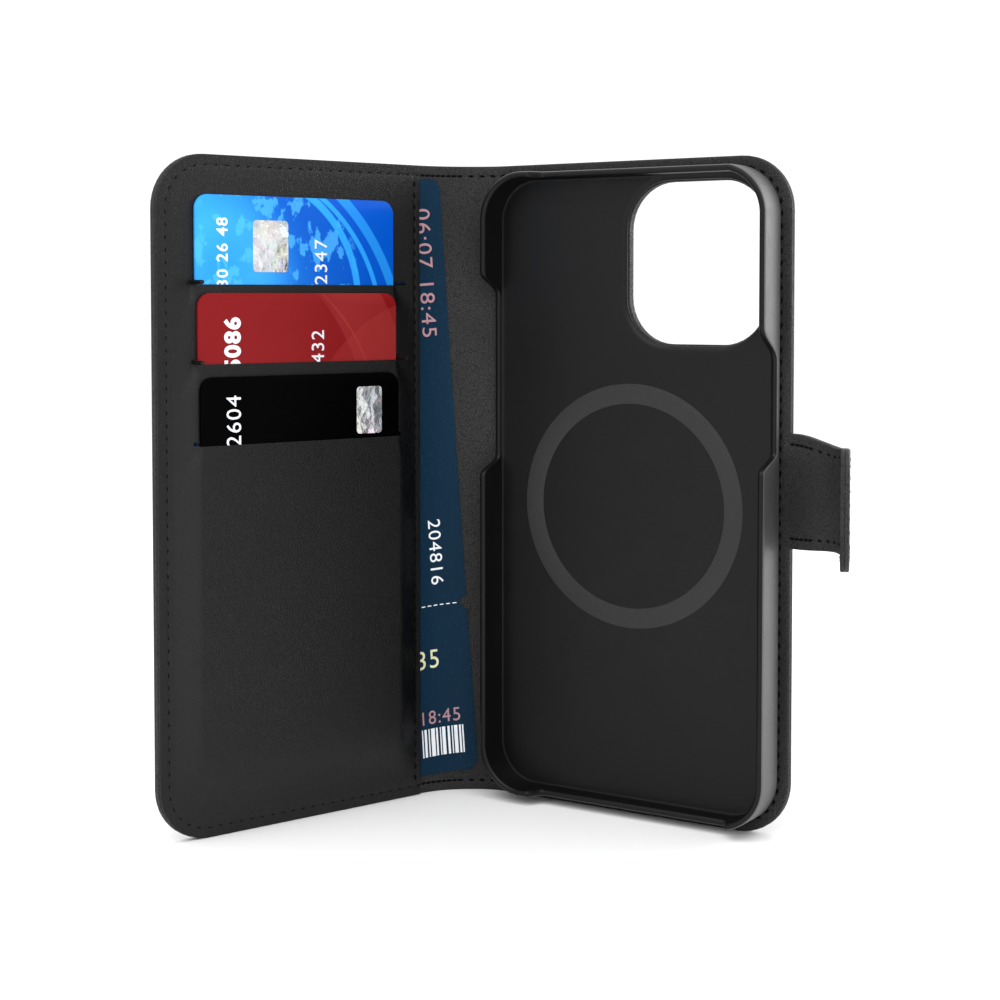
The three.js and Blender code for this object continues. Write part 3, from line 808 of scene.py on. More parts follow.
def foil_finish():
    """Silver foil with soft facets that catch the light at different angles."""
    material, tree, surface = new_material("silver_foil")
    place = tree.place()
    facets = tree.add("ShaderNodeTexVoronoi", {"Vector": place, "Scale": 330.0})
    waves = tree.noise(place, 420.0, 3.0, 0.6)
    tone = tree.blend(waves, (0.35, 0.36, 0.40, 1), (0.95, 0.94, 0.93, 1))
    tree.feed(surface.inputs["Base Color"],
              tree.blend(0.25, tone, facets.outputs["Color"], mode="SOFT_LIGHT"))
    tree.feed(surface.inputs["Roughness"], spread_between(tree, waves, 0.18, 0.42))
    tree.feed(surface.inputs["Normal"],
              bump(tree, tree.maths("ADD", facets.outputs["Distance"], waves), 0.0005))
    surface.inputs["Metallic"].default_value = 0.85
    return material


def ticket_finish():
    material, tree, surface = new_material("navy_ticket")
    place = tree.place()
    fibres = tree.noise(place, 1500.0, 4.0, 0.6)
    cloud = tree.noise(place, 35.0, 2.0)
    base = tree.blend(cloud, (0.0018, 0.017, 0.039, 1), (0.0028, 0.021, 0.046, 1))
    tree.feed(surface.inputs["Base Color"], tree.blend(tree.step(fibres, 0.5, 0.75), base,
                                                       (0.005, 0.031, 0.062, 1)))
    tree.feed(surface.inputs["Roughness"], spread_between(tree, fibres, 0.5, 0.62))
    tree.feed(surface.inputs["Normal"], bump(tree, fibres, 0.00002))
    surface.inputs["Specular IOR Level"].default_value = 0.1
    return material


def ink_finish(name, colour, worn, metallic=0.0):
    """Printed or foiled ink, a little thin in places."""
    material, tree, surface = new_material(name)
    place = tree.place()
    thin = tree.step(tree.noise(place, 2600.0, 3.0), 0.5, 0.8)
    tree.feed(surface.inputs["Base Color"], tree.blend(thin, colour, worn))
    tree.feed(surface.inputs["Roughness"], spread_between(tree, thin, 0.35, 0.5))
    surface.inputs["Metallic"].default_value = metallic
    return material


SKIN = leather("outer_leather", 0.018, 0.46, 1500.0, 0.00006, 0.32)
LINING = leather("lining_leather", 0.032, 0.44, 1900.0, 0.000035, 0.1)
PANEL = leather("panel_leather", 0.0025, 0.31, 2000.0, 0.00003, 0.3)
THREAD = thread_finish()
TRAY = moulded_finish("tray_plastic", 0.0025, 0.36, 5200.0, 0.000014, 0.2)
# The tray's outer wall: a rougher satin finish, and a base tone 28 times the tray's own, which is painted
# light standing in for the light that falls on that wall.
TRAY_SIDE_PAINTED_LIGHT = moulded_finish("tray_side_satin_painted_light", 0.07, 0.5, 5200.0, 0.000014, 0.5)
RING = moulded_finish("ring_print", 0.020, 0.42, 3800.0, 0.00001, 0.22)
BOARD = board_finish()
STEEL = metal_finish("plate_steel", (0.55, 0.55, 0.57, 1), (0.42, 0.42, 0.43, 1), 0.34, 0.06)
NICKEL = metal_finish("magnet_nickel", (0.66, 0.64, 0.60, 1), (0.5, 0.48, 0.45, 1), 0.24, 1.0)
BLUE_PRINT = blue_card_finish()
RED_PRINT = red_card_finish()
BLACK_PRINT = black_card_finish()
FOIL = foil_finish()
TICKET = ticket_finish()
WHITE_INK = ink_finish("white_ink", (0.85, 0.88, 0.92, 1), (0.6, 0.65, 0.7, 1))
SILVER_INK = ink_finish("silver_ink", (0.80, 0.82, 0.86, 1), (0.5, 0.5, 0.52, 1), 0.35)
CREAM_INK = ink_finish("cream_ink", (0.72, 0.73, 0.45, 1), (0.5, 0.52, 0.3, 1))
ROSE_INK = ink_finish("rose_ink", (0.42, 0.22, 0.25, 1), (0.25, 0.15, 0.18, 1))


# ------------------------------------------------------------------ stitching

STITCH_PITCH = 2.8
STITCH_SUNK = 0.2                       # a stitch's middle lies this far below its leather's face
STITCH_SIZES = {"Pitch": STITCH_PITCH, "Length": 1.85, "Width": 0.72, "Dip": 0.3, "Slant": 0.1,
                "Wander": 0.03}


def stitch_tree():
    """Lays one grain-shaped stitch after another along a path."""
    tree = bpy.data.node_groups.new("Stitch Run", "GeometryNodeTree")
    face = tree.interface
    face.new_socket(name="Path", in_out="INPUT", socket_type="NodeSocketGeometry")
    for name, value in STITCH_SIZES.items():
        face.new_socket(name=name, in_out="INPUT", socket_type=FLOAT).default_value = value
    face.new_socket(name="Seed", in_out="INPUT", socket_type="NodeSocketInt").default_value = 7
    face.new_socket(name="Thread", in_out="INPUT", socket_type="NodeSocketMaterial")
    face.new_socket(name="Stitches", in_out="OUTPUT", socket_type="NodeSocketGeometry")
    t = Tree(tree)
    given = t.add("NodeGroupInput").outputs
    path = t.add("GeometryNodeMeshToCurve", {"Mesh": given["Path"]})
    length = t.add("GeometryNodeCurveLength", {0: path.outputs[0]}).outputs[0]
    count = t.maths("ROUND", t.maths("DIVIDE", length, given["Pitch"]))
    spaced = t.add("GeometryNodeResampleCurve", {"Curve": path.outputs[0],
                                                 "Count": t.maths("ADD", count, 1.0)})
    half = t.maths("MULTIPLY", given["Length"], 0.5)
    start = t.add("ShaderNodeCombineXYZ", {0: t.maths("MULTIPLY", half, -1.0)})
    end = t.add("ShaderNodeCombineXYZ", {0: half})
    line = t.add("GeometryNodeCurvePrimitiveLine", {"Start": start.outputs[0], "End": end.outputs[0]})
    bent = t.add("GeometryNodeResampleCurve", {"Curve": line.outputs[0], "Count": 7})
    factor = t.add("GeometryNodeSplineParameter").outputs["Factor"]
    swell = t.maths("SINE", t.maths("MULTIPLY", factor, math.pi))
    fullness = t.maths("POWER", t.maths("MAXIMUM", swell, 0.02), 0.45)
    arch = t.maths("POWER", t.maths("MAXIMUM", swell, 0.0), 0.5)
    drop = t.maths("MULTIPLY", t.maths("SUBTRACT", arch, 1.0), given["Dip"])
    lowered = t.add("GeometryNodeSetPosition", {
        "Geometry": bent.outputs[0], "Offset": t.add("ShaderNodeCombineXYZ", {1: drop}).outputs[0]})
    swollen = t.add("GeometryNodeSetCurveRadius", {
        "Curve": lowered.outputs[0],
        "Radius": t.maths("MULTIPLY", t.maths("MULTIPLY", given["Width"], 0.5), fullness)})
    ring = t.add("GeometryNodeCurvePrimitiveCircle", {"Resolution": 6, "Radius": 1.0})
    grain = t.add("GeometryNodeCurveToMesh", {"Curve": swollen.outputs[0], "Profile Curve": ring.outputs[0],
                                              "Fill Caps": True})
    if "Scale" in grain.inputs:
        radius = t.add("GeometryNodeInputRadius")
        t.feed(grain.inputs["Scale"], radius.outputs[0])
    smooth = t.add("GeometryNodeSetShadeSmooth", {"Geometry": grain.outputs[0]})
    along = t.add("GeometryNodeInputTangent")
    facing = t.add("FunctionNodeAlignRotationToVector", {"Vector": along.outputs[0]},
                   axis="X", pivot_axis="Y")
    wander = t.add("FunctionNodeRandomValue", {"Seed": given["Seed"]}, data_type="FLOAT")
    t.feed(wander.inputs[2], t.maths("MULTIPLY", given["Wander"], -1.0))
    t.feed(wander.inputs[3], given["Wander"])
    yaw = t.maths("ADD", given["Slant"], wander.outputs[1])
    turn = t.add("FunctionNodeRotateRotation", {
        "Rotation": facing.outputs[0],
        "Rotate By": t.add("ShaderNodeCombineXYZ", {1: yaw}).outputs[0]}, rotation_space="LOCAL")
    laid = t.add("GeometryNodeInstanceOnPoints", {
        "Points": spaced.outputs[0], "Instance": smooth.outputs[0], "Rotation": turn.outputs[0]})
    real = t.add("GeometryNodeRealizeInstances", {0: laid.outputs[0]})
    dressed = t.add("GeometryNodeSetMaterial", {"Geometry": real.outputs[0], "Material": given["Thread"]})
    t.feed(t.add("NodeGroupOutput").inputs[0], dressed.outputs[0])
    return tree


STITCHES = stitch_tree()


def stitches(name, paths, height, place, side=1):
    """Stitches along paths of (p, z), at a height, laid over the leather; side is -1 on its far face."""
    vertices, edges = [], []
    for path in paths:
        first = len(vertices)
        vertices += [(p, 0.0, z) for p, z in path]
        edges += [(i, i + 1) for i in range(first, len(vertices) - 1)]
    mesh = bpy.data.meshes.new(name)
    mesh.from_pydata(vertices, edges, [])
    obj = new_object(name, mesh)
    run = obj.modifiers.new("stitches", "NODES")
    run.node_group = STITCHES
    thread = next(item for item in STITCHES.interface.items_tree if item.name == "Thread")
    run[thread.identifier] = THREAD
    baked(obj)
    for vertex in obj.data.vertices:
        p, n, z = vertex.co
        vertex.co = place(p, height + side * n, z)
    turn_outwards(obj.data)
    return obj


# ------------------------------------------------------------------ baking pieces in place and hiding the frame pieces they replace

def bend_back(obj):
    """Bakes the piece's transform into its mesh; the piece lies over the back cover and, past the back fold,
    the spine.
    """
    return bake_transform(obj)


def bend_front(obj):
    """Bakes the piece's transform into its mesh; the piece lies over the spine and, past the front fold, the
    front cover.
    """
    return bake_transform(obj)


def finish_piece(obj, slot, *nodes):
    if nodes:
        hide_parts(*nodes)
    return obj


# ------------------------------------------------------------------ covers and spine

# The faces of the two leathers, at p, z and the distance d from the cut edge.

def lining_top(p, z, d):
    return -quarter_round(d, LINING_ROUND) - groove(d - SEAM_INSET)


def lining_under(p, z, d):
    border = -MEETING + quarter_round(d, GLUED_ROUND)
    return border + (MEETING - LINING_UNDER) * ease(d, *BORDER)


def skin_outside(p, z, d):
    return -OUTER_FACE + quarter_round(d, SKIN_ROUND) + groove(d - SEAM_INSET)


def skin_inside(p, z, d):
    border = -MEETING - GLUE_LINE - quarter_round(d, GLUED_ROUND)
    return border - (SKIN_UNDER - MEETING - GLUE_LINE) * ease(d, *BORDER)


def camera_window(low, high, lip_at, inwards):
    """Cuts the camera opening, with a lip rounded where it meets the face at lip_at."""
    def outline(grow):
        p = HALF_SPINE - BACK_FOLD.x + CAMERA_CENTRE[0]
        return rounded_outline((p, CAMERA_CENTRE[1]), CAMERA_SIZE, CAMERA_CORNER, grow)
    lip = [(lip_at + inwards * depth, grow)
           for depth, grow in ((0.3, 0.0), (0.14, 0.04), (0.04, 0.14), (0.0, 0.3))]
    layers = sorted([(high if inwards > 0 else low, 0.0)] + lip + [(lip_at - inwards * 1.0, 0.4)])
    return prism("window_cutter", outline, layers)


def cover_rows():
    return spread(COVER_CORNER, HEIGHT - COVER_CORNER, 8)


def fold_columns(length, corner, fold):
    """Columns close together round a fold and wide apart on the flat."""
    close = spread(0.0, fold + 5.0, int((fold + 5.0) / 0.5))
    return close + spread(close[-1], length - corner, 14)[1:]


def back_leather():
    leaf = Leaf(BACK_LENGTH + HALF_SPINE, 0, HEIGHT, COVER_CORNER)
    columns = fold_columns(leaf.length, COVER_CORNER, HALF_SPINE)
    rows = cover_rows()
    lining = leaf.build("back_cover_lining", columns, rows, EDGE_INSETS, lining_top, lining_under)
    cut(lining, camera_window(-2.0, 1.0, 0.0, -1))
    settle(lining, on_back, LINING)
    bend_back(finish_piece(lining, "lining", "back_lining", "spine_lining"))
    skin = leaf.build("back_cover_skin", columns, rows, EDGE_INSETS, skin_outside, skin_inside)
    cut(skin, camera_window(-4.0, 0.0, -OUTER_FACE, 1))
    settle(skin, on_back, SKIN)
    bend_back(finish_piece(skin, "skin", "back_outer_skin", "spine_outer_skin"))
    paths = leaf.seam(SEAM_INSET, STITCH_PITCH / 2)
    inner = stitches("back_cover_stitches", paths, -STITCH_SUNK, on_back)
    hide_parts("back_seam_thread", "spine_bottom_thread", "spine_top_thread")
    bend_back(inner)
    bend_back(stitches("back_cover_outer_stitches", paths, -OUTER_FACE + STITCH_SUNK, on_back, side=-1))


def front_leather():
    leaf = Leaf(FRONT_LENGTH + HALF_SPINE, 0, HEIGHT, COVER_CORNER)
    columns = fold_columns(leaf.length, COVER_CORNER, HALF_SPINE)
    rows = cover_rows()
    lining = leaf.build("front_cover_lining", columns, rows, EDGE_INSETS, lining_top, lining_under)
    settle(lining, on_front, LINING)
    bend_front(finish_piece(lining, "lining", "front_lining"))
    skin = leaf.build("front_cover_skin", columns, rows, EDGE_INSETS, skin_outside, skin_inside)
    settle(skin, on_front, SKIN)
    bend_front(finish_piece(skin, "skin", "front_outer_skin"))
    seam = leaf.seam(SEAM_INSET, STITCH_PITCH / 2)
    end = HALF_SPINE + PANEL_MOUTH - STITCH_PITCH / 2
    short = [[(STITCH_PITCH / 2, z), (end, z)] for z in (SEAM_INSET, HEIGHT - SEAM_INSET)]
    inner = stitches("spine_end_stitches", short, -STITCH_SUNK, on_front)
    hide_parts("front_seam_thread")
    bend_front(inner)
    bend_front(stitches("front_cover_outer_stitches", seam, -OUTER_FACE + STITCH_SUNK, on_front,
                        side=-1))


def board_slab(name, low, high, near, far, corner, place, body, node, cutters=()):
    """A stiffening board between p = low and p = high."""
    def outline(grow):
        centre = ((low + high) / 2, HEIGHT / 2)
        return rounded_outline(centre, (high - low, HEIGHT - 2 * BOARD_INSET), corner, grow, 6)
    board = prism(name, outline, [(-far, 0.0), (-near, 0.0)])
    cut(board, *cutters)
    settle(board, place, BOARD)
    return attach(finish_piece(board, "board", node), body)


def window(centre, size, corner):
    """Cuts an opening through a board."""
    return prism("board_cutter", lambda grow: rounded_outline(centre, size, corner, grow, 4),
                 [(-5.0, 0.0), (3.0, 0.0)])


def room_for(node, reach=0.0):
    """An opening round a frame piece, as far again past it as reach."""
    low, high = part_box(node)
    middle = ((low.x + high.x) / 2 / MM + reach / 2, (low.z + high.z) / 2 / MM)
    return middle, ((high.x - low.x) / MM + reach + 0.4, (high.z - low.z) / MM + 0.4)


def boards():
    near, far = LINING_UNDER + 0.03, SKIN_UNDER - 0.03
    low = -BACK_LENGTH + BOARD_INSET
    holes = [
        window(CAMERA_CENTRE, [size + 2 * CAMERA_TURNING for size in CAMERA_SIZE],
               CAMERA_CORNER + CAMERA_TURNING),
        window(*room_for("tray_holding_plate"), 2.2),
        window(*room_for("strap_anchor", reach=6.0), 0.5),
    ]
    board_slab("back_cover_board", BACK_FOLD.x + 0.6, -BOARD_INSET - low + BACK_FOLD.x, near, far, 8.0,
               on_back_cover, "back_cover", "back_board", holes)
    board_slab("spine_board", 2.7, SPINE - 2.7, near, far, 1.0, over_covers, "spine", "spine_filler")
    closure = (BACK_LENGTH - 18.0, (STRAP_LOW + STRAP_HIGH) / 2)
    board_slab("front_cover_board", 0.6, FRONT_LENGTH - BOARD_INSET, near, far, 8.0, on_front_cover,
               "front_cover", "front_board", [window(closure, (24.4, 18.4), 2.2)])


def camera_window_edge():
    """The turned leather edge that closes the camera opening between lining and skin."""
    rings = []
    for n, grow in ((-0.5, 0.03), (-0.5, 1.9), (-1.35, 1.9), (-1.35, 0.03)):
        outline = rounded_outline(CAMERA_CENTRE, CAMERA_SIZE, CAMERA_CORNER, grow)
        rings.append([(p, n, z) for p, z in outline])
    edge = loft("camera_window_edge", rings, round_again=True)
    settle(edge, on_back_cover, SKIN)
    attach(finish_piece(edge, "skin"), "back_cover")


# ------------------------------------------------------------------ the card panel

def slit_lift(v, z):
    """How far the cards lift the panel off its base."""
    outside = max(CARD_LOW_SIDE - v, v - CARD_HIGH_SIDE)
    lift = 0.0
    for slit in SLITS:
        if z > slit + SLIT_GAP / 2:
            continue
        wide = SLOPE_FREE_SIDE if v > CARD_HIGH_SIDE else SLOPE_FOLD_SIDE
        width = SLOPE_AT_SLIT + (wide - SLOPE_AT_SLIT) * ease(slit - z, 0.0, SLOPE_RUN)
        lift += LEVEL * (1 - ease(outside, 0.0, width)) * ease(z, *POCKET_FOOT)
    return lift


def panel_top(p, z, d):
    v = p + PANEL_MOUTH
    pressed = PANEL_PRESSED * (1 - ease(d, 0.8, 4.5))
    mouth = quarter_round(p, 0.16) + 0.7 * groove(p - MOUTH_STITCHES) * (1 if SEAM_INSET < d else 0)
    rim = quarter_round(d, 0.24) + groove(d - SEAM_INSET)
    return PANEL_FACE - pressed - mouth - rim + slit_lift(v, z)


def panel_under(p, z, d):
    flat = 0.5 - 0.47 * (1 - ease(d, 2.6, 5.0)) * ease(p, 0.5, 6.0)
    return max(flat, PANEL_FACE + slit_lift(p + PANEL_MOUTH, z) - PLY)


def panel_gap(p, z):
    v = p + PANEL_MOUTH
    return (CARD_LOW_SIDE - SLIT_REACH < v < CARD_HIGH_SIDE + SLIT_REACH
            and any(slit < z < slit + SLIT_GAP for slit in SLITS))


def on_panel(p, n, z):
    """p counts from the panel's free edge."""
    return on_front_cover(p + PANEL_MOUTH, n, z)


def card_panel():
    length = FRONT_LENGTH - PANEL_MARGIN - PANEL_MOUTH
    corner = COVER_CORNER - PANEL_MARGIN
    turn, radius = length - corner, corner - EDGE_INSETS[-1]
    sides = [66.6, 67.5, 68.3, 68.8, 69.1, 69.4, 69.75, 70.1, 70.4, 70.8, 71.3, 71.8, 72.2, 72.45]
    angles = [math.asin(min(1.0, (v - PANEL_MOUTH - turn) / radius)) for v in sides] + [math.pi / 2]
    leaf = Leaf(length, PANEL_MARGIN, HEIGHT - PANEL_MARGIN, corner, angles=angles)
    columns = [0, 0.04, 0.1, 0.2, 0.5, 0.95, 1.2, 1.4, 1.6, 1.8, 2.0, 2.25, 2.8, 3.6, 4.6, 5.6, 6.4]
    columns += spread(6.95, 8.5, 6) + [9.0, 10.5] + spread(12.5, turn, 12)
    rows = {round(leaf.low + corner, 3), round(leaf.high - corner, 3)}
    for slit in SLITS:
        rows |= {round(slit + step, 3) for step in (-9, -6, -4, -2.4, -1.2, -0.5, -0.15, 0, SLIT_GAP,
                                                   0.8, 1.6, 3.0, 5.0)}
    rows |= {round(z, 3) for z in spread(14.4, 76.0, 14)} | {134.0, 138.5}
    panel = leaf.build("card_slot_panel", columns, sorted(rows), EDGE_INSETS, panel_top, panel_under,
                       panel_gap)
    for slit in SLITS:
        for v in (CARD_LOW_SIDE - SLIT_REACH, CARD_HIGH_SIDE + SLIT_REACH):
            cut(panel, rod("punch", (v - PANEL_MOUTH, slit + PUNCH), PUNCH, -1.0, 6.0))
    settle(panel, on_panel, PANEL)
    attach(finish_piece(panel, "lining", "card_panel"), "front_cover")
    seam = leaf.seam(SEAM_INSET - PANEL_MARGIN, 0.6)
    run = stitches("panel_perimeter_stitches", seam, PANEL_FACE - 0.42, on_panel)
    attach(run, "front_cover")
    ends = (SEAM_INSET + 2.2, HEIGHT - SEAM_INSET - 2.2)
    mouth = [[(MOUTH_STITCHES, z) for z in ends]]
    edge = stitches("panel_edge_stitches", mouth, PANEL_FACE - STITCH_SUNK + 0.06, on_panel)
    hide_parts("panel_edge_thread")
    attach(edge, "front_cover")


def pocket_backing():
    """The thin sheet behind the cards, which closes the long pocket."""
    low, high = PANEL_MOUTH + 0.3, FRONT_LENGTH - 4.0
    centre = ((low + high) / 2, HEIGHT / 2)
    size = (high - low, HEIGHT - 6.0)
    sheet = prism("pocket_backing_sheet", lambda grow: rounded_outline(centre, size, 8.0, grow, 6),
                  [(0.28, -0.06), (0.32, 0.0), (0.44, 0.0), (0.48, -0.06)])
    settle(sheet, on_front_cover, LINING)
    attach(finish_piece(sheet, "lining", "pocket_backing"), "front_cover")


# ------------------------------------------------------------------ cards

def flat_print(name, outline, near, far, place, material, body):
    """A printed or foiled patch standing a hair proud of its card."""
    patch = prism(name, outline, [(near, 0.0), (far - 0.01, 0.0), (far, -0.05)])
    settle(patch, place, material)
    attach(patch, body)
    return patch


def digits(name, text, size, centre, turn, face, proud, place, material, bold=0.0):
    """Raised or printed digits; they run along turn, seen from the reader's side."""
    curve = bpy.data.curves.new(name, "FONT")
    curve.body = text
    curve.size = size
    curve.align_x = "CENTER"
    curve.align_y = "CENTER"
    curve.extrude = proud / 2
    curve.offset = bold
    curve.resolution_u = 4
    curve.space_character = 1.12
    text_object = new_object(name + "_type", curve)
    graph = bpy.context.evaluated_depsgraph_get()
    mesh = bpy.data.meshes.new_from_object(text_object.evaluated_get(graph))
    bpy.data.objects.remove(text_object)
    obj = new_object(name, mesh)
    c, s = math.cos(turn), math.sin(turn)
    for vertex in mesh.vertices:
        x, y, lift = vertex.co
        vertex.co = (centre[0] - (x * c - y * s), face + proud / 2 + lift, centre[1] + x * s + y * c)
    made = bmesh.new()
    made.from_mesh(mesh)
    bmesh.ops.remove_doubles(made, verts=made.verts, dist=0.0005)
    made.to_mesh(mesh)
    made.free()
    settle(obj, place, material)
    return obj


def card(colour, level, material):
    """A card's blank, standing over the ones behind it; gives the height of its face."""
    top = CARD_TOPS[colour]
    near = PANEL_FACE + level * LEVEL + CARD_GAP
    far = near + CARD_THICKNESS
    centre = ((CARD_LOW_SIDE + CARD_HIGH_SIDE) / 2, top - CARD_HEIGHT / 2)

    def outline(grow):
        return rounded_outline(centre, (CARD_WIDTH, CARD_HEIGHT), CARD_CORNER, grow)
    blank = prism(colour + "_card_blank", outline,
                  [(near, -0.12), (near + 0.04, -0.03), (near + 0.12, 0.0),
                   (far - 0.12, 0.0), (far - 0.04, -0.03), (far, -0.12)])

    def chart(v, z):
        return (CARD_HIGH_SIDE - v) / CARD_WIDTH, (z - top + CARD_HEIGHT) / CARD_HEIGHT
    settle(blank, on_front_cover, material, chart=chart)
    node = colour + "_card"
    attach(finish_piece(blank, node, node), node)
    return far


def on_card(colour, across, below_top):
    """A spot on a card, from its free side and its top edge, as (v, z)."""
    return CARD_HIGH_SIDE - across, CARD_TOPS[colour] - below_top


def card_prints():
    """Chips, foil patches, and digits in place of all other lettering."""
    faces = {name: card(name, level, finish) for level, (name, finish) in enumerate(
        (("blue", BLUE_PRINT), ("red", RED_PRINT), ("black", BLACK_PRINT)))}
    upright = math.pi / 2
    marks = (
        ("blue", "blue_card_name_digits", "30 26 48", 4.0, (7.0, 13.0), 0.03, WHITE_INK, 0.06),
        ("blue", "blue_card_number_digits", "012347", 4.9, (33.4, 17.6), 0.14, SILVER_INK, 0.0),
        ("red", "red_card_name_digits", "5086", 5.6, (9.0, 11.6), 0.03, WHITE_INK, 0.22),
        ("red", "red_card_number_digits", "760432", 4.9, (31.8, 16.6), 0.14, SILVER_INK, 0.0),
        ("black", "black_card_name_digits", "82604", 5.4, (8.6, 11.5), 0.03, WHITE_INK, 0.0),
    )
    for colour, name, text, size, spot, proud, ink, bold in marks:
        made = digits(name, text, size, on_card(colour, *spot), upright, faces[colour] + 0.002, proud,
                      on_front_cover, ink, bold)
        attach(made, colour + "_card")
    for colour, name, spot, size in (("blue", "blue_card_foil", (19.6, 11.4), (9.4, 11.8)),
                                     ("black", "black_card_foil", (45.4, 8.8), (7.2, 11.2))):
        centre = on_card(colour, *spot)
        flat_print(name, lambda grow: rounded_outline(centre, size, 0.9, grow, 5), faces[colour] - 0.05,
                   faces[colour] + 0.05, on_front_cover, FOIL, colour + "_card")


# ------------------------------------------------------------------ the ticket

def on_ticket(x, y):
    """A spot on the ticket, from its reader-right edge and its bottom, as (v, z) over the front cover."""
    c, s = math.cos(TICKET_TILT), math.sin(TICKET_TILT)
    down = y - TICKET_SIZE[1]
    v = -TICKET_REACH + x * c + down * s
    z = TICKET_LOW + TICKET_SIZE[1] - x * s + down * c
    return v, z


def sheet_over_spine(name, outline, near, far, material):
    """An outline on the ticket, cut into narrow strips so that it bends, laid over cover and spine."""
    made = bmesh.new()
    made.faces.new([made.verts.new((*on_ticket(x, y), 0)) for x, y in outline])
    for v in spread(-12.0, 12.0, 40):
        everything = made.verts[:] + made.edges[:] + made.faces[:]
        bmesh.ops.bisect_plane(made, geom=everything, plane_co=(v, 0, 0), plane_no=(1, 0, 0))
    flat = bpy.data.meshes.new(name)
    made.to_mesh(flat)
    made.free()
    vertices = [(v.co.x, n, v.co.y) for n in (near, far) for v in flat.vertices]
    faces = [tuple(p.vertices) for p in flat.polygons]
    obj = mesh_object(name, vertices, slab_faces(faces, len(flat.vertices)))
    settle(obj, on_front_cover, material)
    return obj


def ticket():
    r = TICKET_CORNER
    right, top = TICKET_SIZE[0] - r, TICKET_SIZE[1] - r
    outline = []
    for quadrant, (x, y) in enumerate(((right, top), (r, top), (r, r), (right, r))):
        for angle in spread(quadrant * math.pi / 2, (quadrant + 1) * math.pi / 2, 6):
            outline.append((x + r * math.cos(angle), y + r * math.sin(angle)))
        if quadrant == 1:
            for angle in spread(math.pi / 2, -math.pi / 2, 10):
                notch_y = TEAR_LINE + TEAR_NOTCH * math.sin(angle)
                outline.append((TEAR_NOTCH * math.cos(angle), notch_y))
    face = TICKET_FACE + TICKET_THICKNESS
    paper = sheet_over_spine("paper_ticket", outline, TICKET_FACE, face, TICKET)
    bend_front(finish_piece(paper, "ticket", "event_ticket"))
    inked = (face - 0.05, face + 0.012)

    def bar(name, x, y, wide, tall, ink):
        corners = [(x, y), (x + wide, y), (x + wide, y + tall), (x, y + tall)]
        return bend_front(sheet_over_spine(name, corners, *inked, ink))
    for i in range(9):
        bar(f"tear_line_dash_{i + 1:02d}", 2.6 + 1.75 * i, TEAR_LINE - 0.12, 1.05, 0.24, WHITE_INK)
    bars_and_spaces = (
        (0.35, 0.3), (0.5, 0.4), (0.9, 0.35), (0.3, 0.5), (0.6, 0.6), (0.9, 0.3),
        (0.3, 0.6), (0.5, 0.35), (1.1, 0.4), (0.35, 0.5), (0.7, 0.4), (0.35, 0.5),
    )
    x = 3.0
    for i, (wide, space) in enumerate(bars_and_spaces):
        bar(f"barcode_bar_{i + 1:02d}", x, 4.4, wide, 7.0, WHITE_INK)
        x += wide + space

    def marks(name, text, size, spot, turn, ink):
        made = digits(name, text, size, on_ticket(*spot), turn, face - 0.01, 0.022, on_front_cover, ink)
        return bend_front(made)
    level, upright = TICKET_TILT, TICKET_TILT - math.pi / 2
    marks("ticket_number_digits", "204816", 5.0, (7.6, 55.2), upright, WHITE_INK)
    marks("ticket_price_digits", "35", 6.6, (11.5, 28.5), level, CREAM_INK)
    marks("ticket_time_digits", "18:45", 4.8, (9.2, 14.0), level, ROSE_INK)
    marks("ticket_date_digits", "06:07 18:45", 6.0, (5.6, 124.0), upright, ROSE_INK)


# ------------------------------------------------------------------ the closure strap

